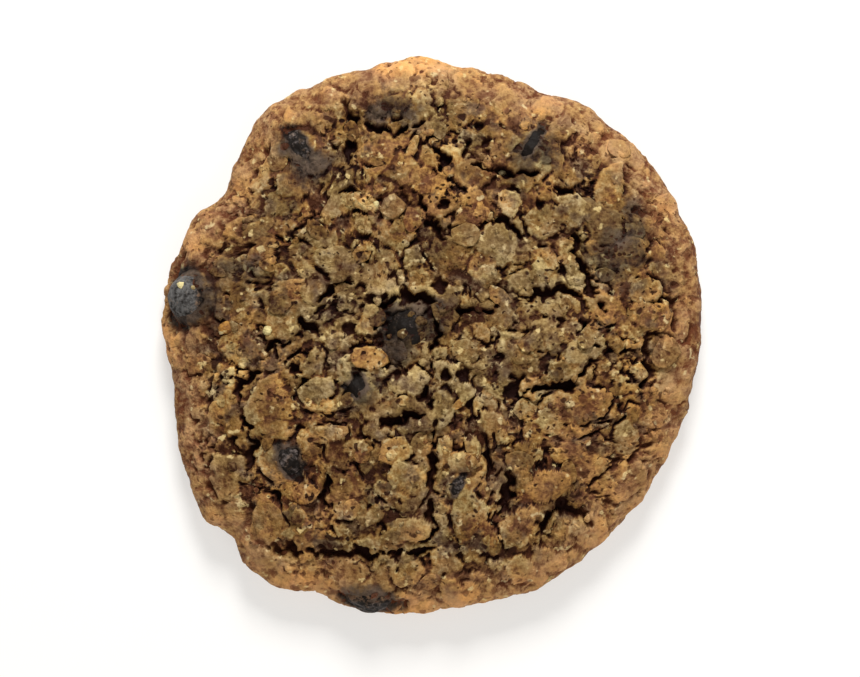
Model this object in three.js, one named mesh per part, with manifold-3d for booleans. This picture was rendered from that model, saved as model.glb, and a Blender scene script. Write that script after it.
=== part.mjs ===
// An oatmeal chocolate chip cookie, as it lies on the tray that it was baked on.
// Millimetres, +Z up. The origin is on the flat underside, below the middle of the outline.
// The crumb is one solid: a domed disc with rolled oat flakes fused on, cracks cut in, and a pocket for each
// chocolate chip that shows. Each of those chips is a solid of its own.

import * as THREE from "three";
import { ImprovedNoise } from "three/addons/math/ImprovedNoise.js";
import { mergeVertices } from "three/addons/utils/BufferGeometryUtils.js";
import Module from "manifold-3d";

// Driving dimensions
const CROWN_HEIGHT = 13.2; // top of the bare crumb, over the tray
const RIM_HEIGHT = 4.6; // where the side is widest
const LIP_INSET = 3.2; // how far the side rolls in below its widest line, down to the tray
const UNDERSIDE_BELOW = 2.0; // the bulge that the tray cuts off flat
const SHOULDER_SQUARENESS = 3.4; // larger is a flatter top and a sharper shoulder
const SHOULDER_ROUNDNESS = 0.55;

// The top's unevenness: soft lumps, with small crags between them
const LUMP_SIZE = 11;
const LUMP_HEIGHT = 0.9;
const CRAG_SIZE = 3.6;
const CRAG_HEIGHT = 0.8;
const SIDE_ROUGHNESS = 0.45;
const ROUGH_UNTIL = 0.8; // share of the way to the rim where the top starts to smooth out

// Rolled oats
const FLAKE_THICKNESS = 1.0;
const FLAKE_SIDES = 7;
const FLAKE_BEVEL = 0.78; // top face against the foot
const FLAKE_SUNK = 0.45; // how deep a flake's middle lies under the crumb
const FLAKE_UNEVENNESS = 0.22;
const SCATTERED_FLAKES = 84;
const SCATTER_REACH = 0.9; // share of the way to the rim
const FLAKE_CLEARANCE = 0.8; // of the two half lengths that neighbours keep apart

// Chocolate chips: a drop that softened in the oven
const CHIP_RADIUS = 4.5;
const CHIP_HEIGHT = 5.2;
const CHIP_SIDES = 12;
const CHIP_GAP = 0.3;

const CRACK_STEPS = 6;
const CRACK_DEPTH = 2.4; // in a crack 1 mm wide
const ABOVE_ALL = 4; // a cutter's reach over the crumb

const DOUGH_DETAIL = 15; // an icosahedron's faces get this many cuts along each edge
const TOP_SHARE = 0.64; // of the ball's area that becomes the top
const SMALLEST_FEATURE = 0.05;
const GOLDEN_ANGLE = Math.PI * (3 - Math.sqrt(5));

// The rim from above, counter-clockwise from the right: [x, y]
const RIM_POINTS = [
  [45.0, 1.1], [44.2, 13.6], [41.3, 21.1], [37.7, 27.1], [31.3, 34.1], [24.7, 38.8], [17.5, 41.3],
  [13.8, 42.9], [5.5, 44.8], [-2.8, 46.6], [-11.2, 44.8], [-22.0, 41.1], [-28.7, 36.6], [-31.8, 31.1],
  [-35.7, 22.8], [-39.7, 19.8], [-41.3, 15.6], [-43.8, 11.6], [-45.0, 1.0], [-43.5, -5.6], [-42.5, -15.6],
  [-40.3, -25.1], [-37.7, -30.6], [-32.8, -34.1], [-32.0, -36.8], [-28.3, -40.6], [-17.8, -43.3],
  [-12.8, -45.8], [-0.3, -45.9], [9.7, -44.4], [19.7, -40.8], [28.7, -33.9], [34.7, -27.4], [40.0, -18.3],
  [42.7, -11.4],
];

// Chips whose chocolate shows: place from above, how far the drop stands out of the crumb, its scale, and the
// colour of its chocolate, which is greyer where it has bloomed
const CHIPS = [
  { name: "chip_left_rim", x: -40.2, y: 6.6, proud: 2.4, scale: 1.0, colour: "#554b47" },
  { name: "chip_upper_left", x: -21.5, y: 31.2, proud: 0.5, scale: 1.0, colour: "#473933" },
  { name: "chip_upper_right", x: 16.7, y: 32.4, proud: 0.4, scale: 0.95, colour: "#352728" },
  { name: "chip_middle", x: -5.0, y: 1.6, proud: 0.7, scale: 1.0, colour: "#2a231f" },
  { name: "chip_inner_left", x: -12.0, y: -8.6, proud: 0.4, scale: 0.9, colour: "#332924" },
  { name: "chip_lower_left", x: -23.8, y: -20.1, proud: 0.5, scale: 0.95, colour: "#3a2f2e" },
  { name: "chip_lower_middle", x: 4.2, y: -24.6, proud: 0.4, scale: 0.8, colour: "#2c231e" },
  { name: "chip_lower_rim", x: -10.4, y: -43.8, proud: 0.7, scale: 1.0, colour: "#413330" },
];

// Lumps where the crumb bulges over a chip or a knot of oats: place, half sizes and height
const MOUNDS = [
  { x: -6.5, y: 38.6, across: 5.6, along: 4.4, height: 1.5 },
  { x: -32.0, y: 11.4, across: 5.0, along: 3.6, height: 0.9 },
  { x: 30.8, y: 14.8, across: 5.6, along: 6.4, height: 1.3 },
  { x: 20.8, y: -3.1, across: 6.2, along: 5.2, height: 1.4 },
  { x: 23.3, y: -32.6, across: 4.6, along: 3.6, height: 1.6 },
  { x: -27.5, y: -10.8, across: 4.6, along: 5.6, height: 0.9 },
  { x: 33.8, y: -23.8, across: 5.4, along: 4.6, height: 0.9 },
];

// Flakes that stand out: place, length, width, heading of the length in degrees, tilt in degrees towards it
const PLACED_FLAKES = [
  { x: 29.0, y: 24.4, length: 8.6, width: 5.4, heading: 70, tilt: 8 },
  { x: 30.9, y: 31.0, length: 5.0, width: 3.4, heading: 160, tilt: 10 },
  { x: 35.0, y: 7.6, length: 6.4, width: 4.8, heading: 10, tilt: 6 },
  { x: 37.0, y: 3.2, length: 6.6, width: 5.0, heading: 25, tilt: -4 },
  { x: 10.8, y: 15.2, length: 8.2, width: 7.0, heading: 120, tilt: 7 },
  { x: 5.6, y: 16.6, length: 5.4, width: 4.0, heading: 0, tilt: 4 },
  { x: -6.6, y: 21.2, length: 4.6, width: 4.2, heading: 40, tilt: 5 },
  { x: -10.9, y: 22.0, length: 5.2, width: 3.0, heading: 155, tilt: 22 },
  { x: -4.0, y: 31.0, length: 5.0, width: 2.6, heading: 65, tilt: 26 },
  { x: -6.2, y: -18.8, length: 6.6, width: 5.2, heading: 30, tilt: 9 },
  { x: -4.0, y: -24.0, length: 8.2, width: 6.4, heading: 130, tilt: 6 },
  { x: -3.6, y: -31.8, length: 7.6, width: 4.4, heading: 5, tilt: 5 },
  { x: 6.0, y: -29.2, length: 9.0, width: 7.4, heading: 80, tilt: 5 },
  { x: 4.4, y: -20.6, length: 6.8, width: 3.6, heading: 0, tilt: 8 },
  { x: 18.8, y: -24.6, length: 10.0, width: 5.6, heading: 25, tilt: 7 },
  { x: 24.6, y: -11.4, length: 11.0, width: 7.0, heading: 5, tilt: 4 },
  { x: -17.4, y: -16.0, length: 7.8, width: 3.4, heading: 5, tilt: 12 },
  { x: -10.4, y: -3.6, length: 7.0, width: 4.4, heading: 170, tilt: 8 },
  { x: -27.0, y: -30.4, length: 7.4, width: 6.2, heading: 100, tilt: 5 },
  { x: -21.0, y: -25.8, length: 5.6, width: 3.4, heading: 10, tilt: 6 },
  { x: -34.0, y: 1.2, length: 3.4, width: 2.8, heading: 60, tilt: 12 },
  { x: -26.8, y: 0.8, length: 2.8, width: 2.4, heading: 0, tilt: 10 },
];

// Cracks, each an arc from one end to the other. bow is how far its middle stands to the left of the chord.
const CRACKS = [
  { from: [-13.7, 37.4], to: [0.8, 36.8], bow: -3.2, width: 1.2 },
  { from: [-14.8, 39.6], to: [-13.7, 28.8], bow: 0.4, width: 1.3 },
  { from: [-15.3, 23.8], to: [-8.2, 21.6], bow: 0.6, width: 1.0 },
  { from: [-1.7, 22.3], to: [2.2, 15.8], bow: -0.8, width: 1.2 },
  { from: [8.0, 18.4], to: [15.3, 16.2], bow: 1.2, width: 1.0 },
  { from: [23.8, 17.4], to: [28.8, 4.2], bow: -1.1, width: 1.2 },
  { from: [14.3, 5.6], to: [24.7, 6.8], bow: 1.4, width: 1.3 },
  { from: [9.7, 3.6], to: [12.4, 8.4], bow: 0.3, width: 1.1 },
  { from: [-9.6, 1.2], to: [1.3, 5.0], bow: 3.6, width: 1.4 },
  { from: [1.5, 3.2], to: [0.2, -6.3], bow: -0.3, width: 1.0 },
  { from: [1.7, 3.2], to: [10.0, 3.9], bow: 0.4, width: 1.0 },
  { from: [-8.7, -15.2], to: [-1.0, -13.2], bow: 0.8, width: 1.4 },
  { from: [0.0, -15.6], to: [0.6, -26.0], bow: -0.4, width: 1.8 },
  { from: [-0.3, -26.8], to: [0.3, -33.4], bow: 0.3, width: 1.0 },
  { from: [9.2, -16.9], to: [9.0, -23.6], bow: 0.2, width: 1.1 },
  { from: [12.7, -21.6], to: [11.2, -29.3], bow: 0.5, width: 1.5 },
  { from: [17.7, -34.4], to: [27.0, -31.6], bow: 4.4, width: 1.4 },
  { from: [23.3, -27.3], to: [38.3, -17.4], bow: 1.2, width: 1.1 },
  { from: [35.2, -0.9], to: [35.5, -8.9], bow: 0.3, width: 1.0 },
  { from: [14.7, -8.9], to: [26.8, -4.3], bow: -1.4, width: 1.2 },
  { from: [32.5, 4.3], to: [40.4, 6.2], bow: 0.3, width: 1.0 },
  { from: [-18.7, 5.6], to: [-13.2, 8.4], bow: 0.6, width: 1.3 },
  { from: [-21.5, 2.4], to: [-19.0, 0.1], bow: 0.2, width: 1.6 },
  { from: [-28.0, -5.8], to: [-31.8, -12.3], bow: -1.7, width: 1.2 },
  { from: [-31.7, -12.3], to: [-30.8, -23.1], bow: 1.3, width: 1.2 },
  { from: [-27.3, -34.8], to: [-8.0, -36.1], bow: -0.5, width: 1.4 },
  { from: [-17.3, -22.6], to: [-18.3, -28.1], bow: 0.2, width: 1.0 },
];

const CRUMB_COLOUR = "#8a6540";

const noise = new ImprovedNoise();
const wasm = await Module();
wasm.setup();

/** A closed three.js geometry as a solid that can be joined and cut. */
function toSolid(geometry) {
  const bare = geometry.clone();
  bare.deleteAttribute("normal");
  bare.deleteAttribute("uv");
  const merged = mergeVertices(bare, 1e-4);
  return new wasm.Manifold(
    new wasm.Mesh({
      numProp: 3,
      vertProperties: merged.getAttribute("position").array,
      triVerts: new Uint32Array(merged.index.array),
    }),
  );
}

/** A solid as a three.js geometry. */
function toGeometry(solid) {
  const { vertProperties, triVerts } = solid.getMesh();
  const geometry = new THREE.BufferGeometry();
  geometry.setAttribute("position", new THREE.BufferAttribute(vertProperties, 3));
  geometry.setIndex(new THREE.BufferAttribute(triVerts, 1));
  geometry.computeVertexNormals();
  return geometry;
}

/** Moves every vertex of a geometry to where place(vertex) says. */
function reshape(geometry, place) {
  const position = geometry.getAttribute("position");
  const vertex = new THREE.Vector3();
  for (let i = 0; i < position.count; i++) {
    vertex.fromBufferAttribute(position, i);
    place(vertex);
    position.setXYZ(i, vertex.x, vertex.y, vertex.z);
  }
  return geometry;
}

/** A number from 0 to 1 that looks random and depends only on the seed. */
function draw(seed) {
  const wave = Math.sin(seed * 12.9898) * 43758.5453;
  return wave - Math.floor(wave);
}

/** The rim's distance from the middle, for each direction seen from above. */
function makeRimRadius() {
  const corners = RIM_POINTS.map(([x, y]) => new THREE.Vector3(x, y, 0));
  const curve = new THREE.CatmullRomCurve3(corners, true, "centripetal");
  const stepsPerPoint = 16;
  const rim = curve
    .getPoints(RIM_POINTS.length * stepsPerPoint)
    .slice(0, -1)
    .map(({ x, y }) => ({ heading: Math.atan2(y, x), radius: Math.hypot(x, y) }))
    .sort((a, b) => a.heading - b.heading);
  const first = rim[0];
  const last = rim[rim.length - 1];
  rim.unshift({ heading: last.heading - 2 * Math.PI, radius: last.radius });
  rim.push({ heading: first.heading + 2 * Math.PI, radius: first.radius });
  return (heading) => {
    const after = rim.findIndex((step) => step.heading > heading);
    const [low, high] = [rim[after - 1], rim[after]];
    const share = (heading - low.heading) / (high.heading - low.heading);
    return THREE.MathUtils.lerp(low.radius, high.radius, share);
  };
}
const rimRadius = makeRimRadius();

/** How far a point lies on the way from the middle, 0, to the rim, 1. */
function rimShare(x, y) {
  return Math.hypot(x, y) / rimRadius(Math.atan2(y, x));
}

/** The smooth dome's height at a share of the way to the rim. */
function domeHeight(share) {
  const fall = Math.max(0, 1 - share ** SHOULDER_SQUARENESS) ** SHOULDER_ROUNDNESS;
  return RIM_HEIGHT + (CROWN_HEIGHT - RIM_HEIGHT) * fall;
}

/** The height that one mound adds, a smooth bump that ends at its half sizes. */
function moundHeight(mound, x, y) {
  const reach = Math.hypot((x - mound.x) / mound.across, (y - mound.y) / mound.along);
  return mound.height * (1 - THREE.MathUtils.smoothstep(reach, 0.25, 1.25));
}

/** The crumb's top without flakes, cracks and chips. */
function topHeight(x, y) {
  const share = rimShare(x, y);
  const roughness = 1 - THREE.MathUtils.smoothstep(share, ROUGH_UNTIL, 1);
  const lumps = LUMP_HEIGHT * noise.noise(x / LUMP_SIZE, y / LUMP_SIZE, 0.3);
  const crags = CRAG_HEIGHT * noise.noise(x / CRAG_SIZE, y / CRAG_SIZE, 7.7);
  const mounds = MOUNDS.reduce((sum, mound) => sum + moundHeight(mound, x, y), 0);
  return domeHeight(share) + mounds * Math.sqrt(roughness) + (lumps + crags) * roughness;
}

/** The direction in which the top faces, over a span that evens out its crags. */
function topNormal(x, y) {
  const span = 1.2;
  const slopeX = (topHeight(x + span, y) - topHeight(x - span, y)) / (2 * span);
  const slopeY = (topHeight(x, y + span) - topHeight(x, y - span)) / (2 * span);
  return new THREE.Vector3(-slopeX, -slopeY, 1).normalize();
}

/** A point that the given distance lies over the top, along its normal. */
function overTop(x, y, distance) {
  return new THREE.Vector3(x, y, topHeight(x, y)).addScaledVector(topNormal(x, y), distance);
}

/** A ball's vertex moved to the crumb: the ball's upper share becomes the top, the rest the side and underside. */
function ontoCrumb(vertex) {
  const heading = Math.atan2(vertex.y, vertex.x);
  const area = (1 - vertex.z / vertex.length()) / 2;
  const rim = rimRadius(heading);
  if (area <= TOP_SHARE) {
    const radius = rim * Math.sqrt(area / TOP_SHARE);
    const [x, y] = [radius * Math.cos(heading), radius * Math.sin(heading)];
    vertex.set(x, y, topHeight(x, y));
    return;
  }
  const turn = ((area - TOP_SHARE) / (1 - TOP_SHARE)) ** 0.6 * (Math.PI / 2);
  const inset = LIP_INSET * (1 - Math.cos(turn));
  const radius = (rim - inset) * Math.cos(turn) ** 0.2;
  const height = RIM_HEIGHT - (RIM_HEIGHT + UNDERSIDE_BELOW) * Math.sin(turn);
  vertex.set(radius * Math.cos(heading), radius * Math.sin(heading), height);
}

/** Pushes a vertex of the side in or out, so that the side is as uneven as baked crumb. */
function roughenSide(vertex) {
  const share = Math.min(1, Math.hypot(vertex.x, vertex.y) / rimRadius(Math.atan2(vertex.y, vertex.x)));
  const bump = noise.noise(vertex.x / CRAG_SIZE, vertex.y / CRAG_SIZE, vertex.z / CRAG_SIZE);
  const reach = SIDE_ROUGHNESS * bump * THREE.MathUtils.smoothstep(share, ROUGH_UNTIL, 1);
  vertex.multiply(new THREE.Vector3(1 - reach / 45, 1 - reach / 45, 1));
}

/** The crumb before oats, cracks and chips, cut flat where it lies on the tray. */
function makeDough() {
  const ball = new THREE.IcosahedronGeometry(1, DOUGH_DETAIL);
  const shaped = reshape(reshape(ball, ontoCrumb), roughenSide);
  const tray = new THREE.BoxGeometry(120, 120, 20).translate(0, 0, -10);
  return toSolid(shaped).subtract(toSolid(tray));
}

/** One rolled oat: an uneven bevelled plate that lies in the crumb. */
function makeFlake({ x, y, length, width, heading, tilt }, seed) {
  const plate = new THREE.CylinderGeometry(FLAKE_BEVEL, 1, FLAKE_THICKNESS, FLAKE_SIDES);
  plate.rotateX(Math.PI / 2);
  reshape(plate, (vertex) => {
    const side = Math.round((Math.atan2(vertex.y, vertex.x) / Math.PI) * (FLAKE_SIDES / 2));
    const spread = 1 - FLAKE_UNEVENNESS * draw(seed + side);
    vertex.set((vertex.x * spread * length) / 2, (vertex.y * spread * width) / 2, vertex.z);
  });
  const up = new THREE.Vector3(0, 0, 1);
  const lie = new THREE.Quaternion().setFromUnitVectors(up, topNormal(x, y));
  const turn = new THREE.Quaternion().setFromAxisAngle(up, THREE.MathUtils.degToRad(heading));
  const lean = new THREE.Quaternion().setFromAxisAngle(
    new THREE.Vector3(0, 1, 0),
    -THREE.MathUtils.degToRad(tilt),
  );
  const place = overTop(x, y, FLAKE_THICKNESS / 2 - FLAKE_SUNK);
  const pose = new THREE.Matrix4().compose(place, lie.multiply(turn).multiply(lean), new THREE.Vector3(1, 1, 1));
  return toSolid(plate.applyMatrix4(pose));
}

/** Further flakes, spread evenly by a sunflower's rule, where no placed flake or chip is in the way. */
function scatterFlakes() {
  const taken = [
    ...PLACED_FLAKES.map(({ x, y, length }) => ({ x, y, reach: length / 2 })),
    ...CHIPS.map(({ x, y, scale }) => ({ x, y, reach: CHIP_RADIUS * scale })),
  ];
  const flakes = [];
  for (let k = 0; k < SCATTERED_FLAKES; k++) {
    const share = SCATTER_REACH * Math.sqrt((k + 0.5) / SCATTERED_FLAKES);
    const bearing = Math.atan2(Math.sin(k * GOLDEN_ANGLE), Math.cos(k * GOLDEN_ANGLE));
    const radius = share * rimRadius(bearing);
    const length = 3.6 + 3.4 * draw(k + 0.1);
    const flake = {
      x: radius * Math.cos(bearing) + 1.6 * (draw(k + 0.2) - 0.5),
      y: radius * Math.sin(bearing) + 1.6 * (draw(k + 0.3) - 0.5),
      length,
      width: length * (0.6 + 0.3 * draw(k + 0.4)),
      heading: 180 * draw(k + 0.5),
      tilt: 20 * draw(k + 0.6) - 6,
    };
    const isFree = taken.every(
      ({ x, y, reach }) => Math.hypot(x - flake.x, y - flake.y) > FLAKE_CLEARANCE * (reach + length / 2),
    );
    if (isFree) flakes.push(flake);
  }
  return flakes;
}

/** The cutter for one crack: an upright blade that is widest in its middle and pointed at both ends. */
function makeCrack({ from, to, bow, width }) {
  const start = new THREE.Vector2(...from);
  const chord = new THREE.Vector2(...to).sub(start);
  const left = new THREE.Vector2(-chord.y, chord.x).normalize();
  const edge = (side) =>
    Array.from({ length: CRACK_STEPS + 1 }, (_, step) => {
      const share = step / CRACK_STEPS;
      const offset = 4 * bow * share * (1 - share) + side * (width / 2) * Math.sqrt(Math.sin(Math.PI * share));
      return start.clone().addScaledVector(chord, share).addScaledVector(left, offset);
    });
  const outline = [...edge(-1), ...edge(1).slice(1, -1).reverse()];
  const middle = start.clone().addScaledVector(chord, 0.5).addScaledVector(left, bow);
  const floor = Math.min(
    ...[start, middle, start.clone().add(chord)].map(({ x, y }) => topHeight(x, y)),
  );
  const depth = CRACK_DEPTH * width;
  const blade = new THREE.ExtrudeGeometry(new THREE.Shape(outline), {
    depth: depth + ABOVE_ALL,
    bevelEnabled: false,
  });
  return toSolid(blade.translate(0, 0, floor - depth));
}

/** A chip's drop, tip up, grown all round by the given amount. */
function makeDrop(scale, grow) {
  const radius = CHIP_RADIUS * scale;
  const height = CHIP_HEIGHT * scale;
  const profile = [
    [0, -grow],
    [0.84 * radius + grow, -grow],
    [radius + grow, 0.16 * height],
    [0.95 * radius + grow, 0.42 * height],
    [0.72 * radius + grow, 0.74 * height + 0.5 * grow],
    [0.36 * radius + 0.5 * grow, 0.95 * height + grow],
    [0, height + grow],
  ];
  const drop = new THREE.LatheGeometry(
    profile.map(([x, y]) => new THREE.Vector2(x, y)),
    CHIP_SIDES,
  );
  return drop.rotateX(Math.PI / 2);
}

/** A chip's place and lean: its tip stands out of the crumb along the top's normal. */
function chipPose({ x, y, proud, scale }) {
  const lie = new THREE.Quaternion().setFromUnitVectors(new THREE.Vector3(0, 0, 1), topNormal(x, y));
  return { position: overTop(x, y, proud - CHIP_HEIGHT * scale), quaternion: lie };
}

/** A solid's largest body: loose scraps and sealed hollows are left out. */
function largestBody(solid) {
  return solid.decompose().reduce((best, body) => (body.volume() > best.volume() ? body : best));
}

/** The crumb with its oats fused on, its cracks cut in and a pocket for each chip. */
function makeCrumb() {
  const flakes = [...PLACED_FLAKES, ...scatterFlakes()].map((flake, i) => makeFlake(flake, 10 * i));
  const cracks = CRACKS.map(makeCrack);
  const pockets = CHIPS.map((chip) => {
    const { position, quaternion } = chipPose(chip);
    const pose = new THREE.Matrix4().compose(position, quaternion, new THREE.Vector3(1, 1, 1));
    return toSolid(makeDrop(chip.scale, CHIP_GAP).applyMatrix4(pose));
  });
  const covered = flakes.reduce((solid, flake) => solid.add(flake), makeDough());
  const cut = [...cracks, ...pockets].reduce((solid, cutter) => solid.subtract(cutter), covered);
  return largestBody(cut.simplify(SMALLEST_FEATURE));
}

/** Adds one named piece to the cookie. */
function addPiece(group, name, geometry, finish, { position, quaternion } = {}) {
  const mesh = new THREE.Mesh(geometry, new THREE.MeshStandardMaterial(finish));
  mesh.name = name;
  if (position) mesh.position.copy(position);
  if (quaternion) mesh.quaternion.copy(quaternion);
  group.add(mesh);
}

const crumbFinish = { color: CRUMB_COLOUR, roughness: 0.85, metalness: 0 };
const chipFinish = { roughness: 0.4, metalness: 0 };

const cookie = new THREE.Group();
cookie.name = "oatmeal_cookie";
addPiece(cookie, "crumb", toGeometry(makeCrumb()), crumbFinish);
for (const chip of CHIPS) {
  const finish = { ...chipFinish, color: chip.colour };
  addPiece(cookie, chip.name, makeDrop(chip.scale, 0), finish, chipPose(chip));
}

export default cookie;
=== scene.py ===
"""An oatmeal chocolate chip cookie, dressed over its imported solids.

The crumb is a fine skin that follows the crumb solid, in a body and a finer top. Rolled oats raise it,
cracks, gaps and pores sink it, and it opens over the chocolate chips. Loose oat flakes and crumbs lie on it
as meshes of their own. Lengths are in millimetres until a mesh is written. +Y is the top of the picture.
"""

import logging
import math
from dataclasses import dataclass, field
from enum import Enum

import bmesh
import bpy
import numpy as np
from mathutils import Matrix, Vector
from mathutils.bvhtree import BVHTree


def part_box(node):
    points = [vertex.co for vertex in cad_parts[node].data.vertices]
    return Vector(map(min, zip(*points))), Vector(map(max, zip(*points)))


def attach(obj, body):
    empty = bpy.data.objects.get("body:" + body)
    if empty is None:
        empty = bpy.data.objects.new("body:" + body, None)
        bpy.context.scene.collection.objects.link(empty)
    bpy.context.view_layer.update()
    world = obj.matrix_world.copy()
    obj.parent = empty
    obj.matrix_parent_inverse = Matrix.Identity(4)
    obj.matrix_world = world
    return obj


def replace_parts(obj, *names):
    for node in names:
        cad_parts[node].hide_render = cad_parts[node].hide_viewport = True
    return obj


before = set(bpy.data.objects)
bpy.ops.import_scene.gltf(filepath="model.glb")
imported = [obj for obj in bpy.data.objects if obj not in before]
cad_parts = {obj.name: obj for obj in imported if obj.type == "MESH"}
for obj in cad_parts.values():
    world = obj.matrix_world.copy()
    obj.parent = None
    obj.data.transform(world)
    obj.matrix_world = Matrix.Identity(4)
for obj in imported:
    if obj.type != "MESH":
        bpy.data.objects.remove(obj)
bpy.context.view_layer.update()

LOG = logging.getLogger("cookie")
MM = 0.001
BODY = "root"
GOLDEN_ANGLE = math.pi * (3.0 - math.sqrt(5.0))
TINY = 1e-6

# Rays that look down on the cookie start this high, and small copies read the grain up to this far apart.
OVERHEAD = 40.0
FAR_APART = 40.0
DOWN = Vector((0.0, 0.0, -1.0))

Array = np.ndarray

# The rim from above, counter-clockwise from the right.
RIM_POINTS: tuple[tuple[float, float], ...] = (
    (45.0, 1.1), (44.2, 13.6), (41.3, 21.1), (37.7, 27.1), (31.3, 34.1), (24.7, 38.8), (17.5, 41.3),
    (13.8, 42.9), (5.5, 44.8), (-2.8, 46.6), (-11.2, 44.8), (-22.0, 41.1), (-28.7, 36.6), (-31.8, 31.1),
    (-35.7, 22.8), (-39.7, 19.8), (-41.3, 15.6), (-43.8, 11.6), (-45.0, 1.0), (-43.5, -5.6), (-42.5, -15.6),
    (-40.3, -25.1), (-37.7, -30.6), (-32.8, -34.1), (-32.0, -36.8), (-28.3, -40.6), (-17.8, -43.3),
    (-12.8, -45.8), (-0.3, -45.9), (9.7, -44.4), (19.7, -40.8), (28.7, -33.9), (34.7, -27.4), (40.0, -18.3),
    (42.7, -11.4),
)


class Tint(Enum):
    """The baked shades of an oat flake, as hue from olive to orange and lightness about the mean."""

    OLIVE = (0.10, 0.10)
    PALE_OLIVE = (0.12, 0.34)
    TAN = (0.50, 0.16)
    PALE_TAN = (0.50, 0.50)
    ORANGE = (0.86, 0.38)
    BROWN = (0.62, -0.08)
    DARK = (0.50, -0.32)


@dataclass(frozen=True)
class Crack:
    """A crack in the top: an arc from one end to the other.

    bow is how far its middle stands to the left of the chord.
    """

    start: tuple[float, float]
    end: tuple[float, float]
    bow: float
    width: float


@dataclass(frozen=True)
class Patch:
    """An oval on the top, with its length turned by a heading in degrees."""

    x: float
    y: float
    length: float
    width: float
    heading: float = 0.0
    strength: float = 1.0

    def reach(self, x: Array, y: Array) -> Array:
        """Measures how far points lie out of the oval's middle.

        Args:
            x: the points' places to the right.
            y: the points' places upwards in the picture.

        Returns:
            0 in the middle and 1 on the oval's edge.
        """
        along, across = along_across(x - self.x, y - self.y, self.heading)
        return np.hypot(along / (self.length / 2), across / (self.width / 2))

    def cover(self, points: Array, rag: Array | float, low: float, high: float) -> Array:
        """Finds how strongly the oval shows, with an edge that fades.

        Args:
            points: places in millimetres, one row each.
            rag: what makes the edge uneven, added to the way out.
            low: the way out where the oval starts to fade.
            high: the way out where it has gone.

        Returns:
            0 outside and the oval's strength in its middle.
        """
        way = self.reach(points[:, 0], points[:, 1]) + rag
        return self.strength * (1.0 - smoothstep(way, low, high))


@dataclass(frozen=True)
class Flake:
    """A rolled oat: where it lies, its size, its heading and tilt in degrees, and its shade."""

    x: float
    y: float
    length: float
    width: float
    heading: float
    tilt: float
    tint: Tint


# The flakes that can be told apart: place, length, width, heading and tilt in degrees, and shade.
NAMED_FLAKES: tuple[Flake, ...] = tuple(Flake(*row) for row in (
    (29.0, 24.4, 8.6, 5.4, 70, 8, Tint.ORANGE), (30.9, 31.0, 5.0, 3.4, 160, 10, Tint.PALE_TAN),
    (35.0, 7.6, 6.4, 4.8, 10, 6, Tint.OLIVE), (37.0, 3.2, 6.6, 5.0, 25, -4, Tint.TAN),
    (10.8, 15.2, 8.2, 7.0, 120, 7, Tint.OLIVE), (5.6, 16.6, 5.4, 4.0, 0, 4, Tint.PALE_OLIVE),
    (-6.6, 21.2, 4.6, 4.2, 40, 5, Tint.PALE_OLIVE), (-10.9, 22.0, 5.2, 3.0, 155, 22, Tint.PALE_TAN),
    (-3.4, 30.7, 5.4, 1.7, 65, 26, Tint.PALE_TAN), (-6.2, -18.8, 6.6, 5.2, 30, 9, Tint.ORANGE),
    (-4.0, -24.0, 8.2, 6.4, 130, 6, Tint.ORANGE), (-3.6, -31.8, 7.6, 4.4, 5, 5, Tint.ORANGE),
    (6.0, -29.2, 9.0, 7.4, 80, 5, Tint.OLIVE), (4.4, -20.6, 6.8, 3.6, 0, 8, Tint.TAN),
    (18.8, -24.6, 10.0, 5.6, 25, 7, Tint.ORANGE), (24.6, -11.4, 11.0, 7.0, 5, 4, Tint.BROWN),
    (-17.4, -16.0, 7.8, 3.4, 5, 12, Tint.TAN), (-10.4, -3.6, 7.0, 4.4, 170, 8, Tint.ORANGE),
    (-27.0, -30.4, 7.4, 6.2, 100, 5, Tint.BROWN), (-21.0, -25.8, 5.6, 3.4, 10, 6, Tint.ORANGE),
    (-26.8, -12.2, 12.0, 9.0, 80, 2, Tint.BROWN), (32.4, -23.4, 9.0, 7.0, 40, 3, Tint.BROWN),
    (2.2, -18.2, 4.4, 2.8, 80, 6, Tint.PALE_OLIVE), (6.8, -18.2, 4.4, 2.8, 100, 6, Tint.PALE_OLIVE),
))

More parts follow.
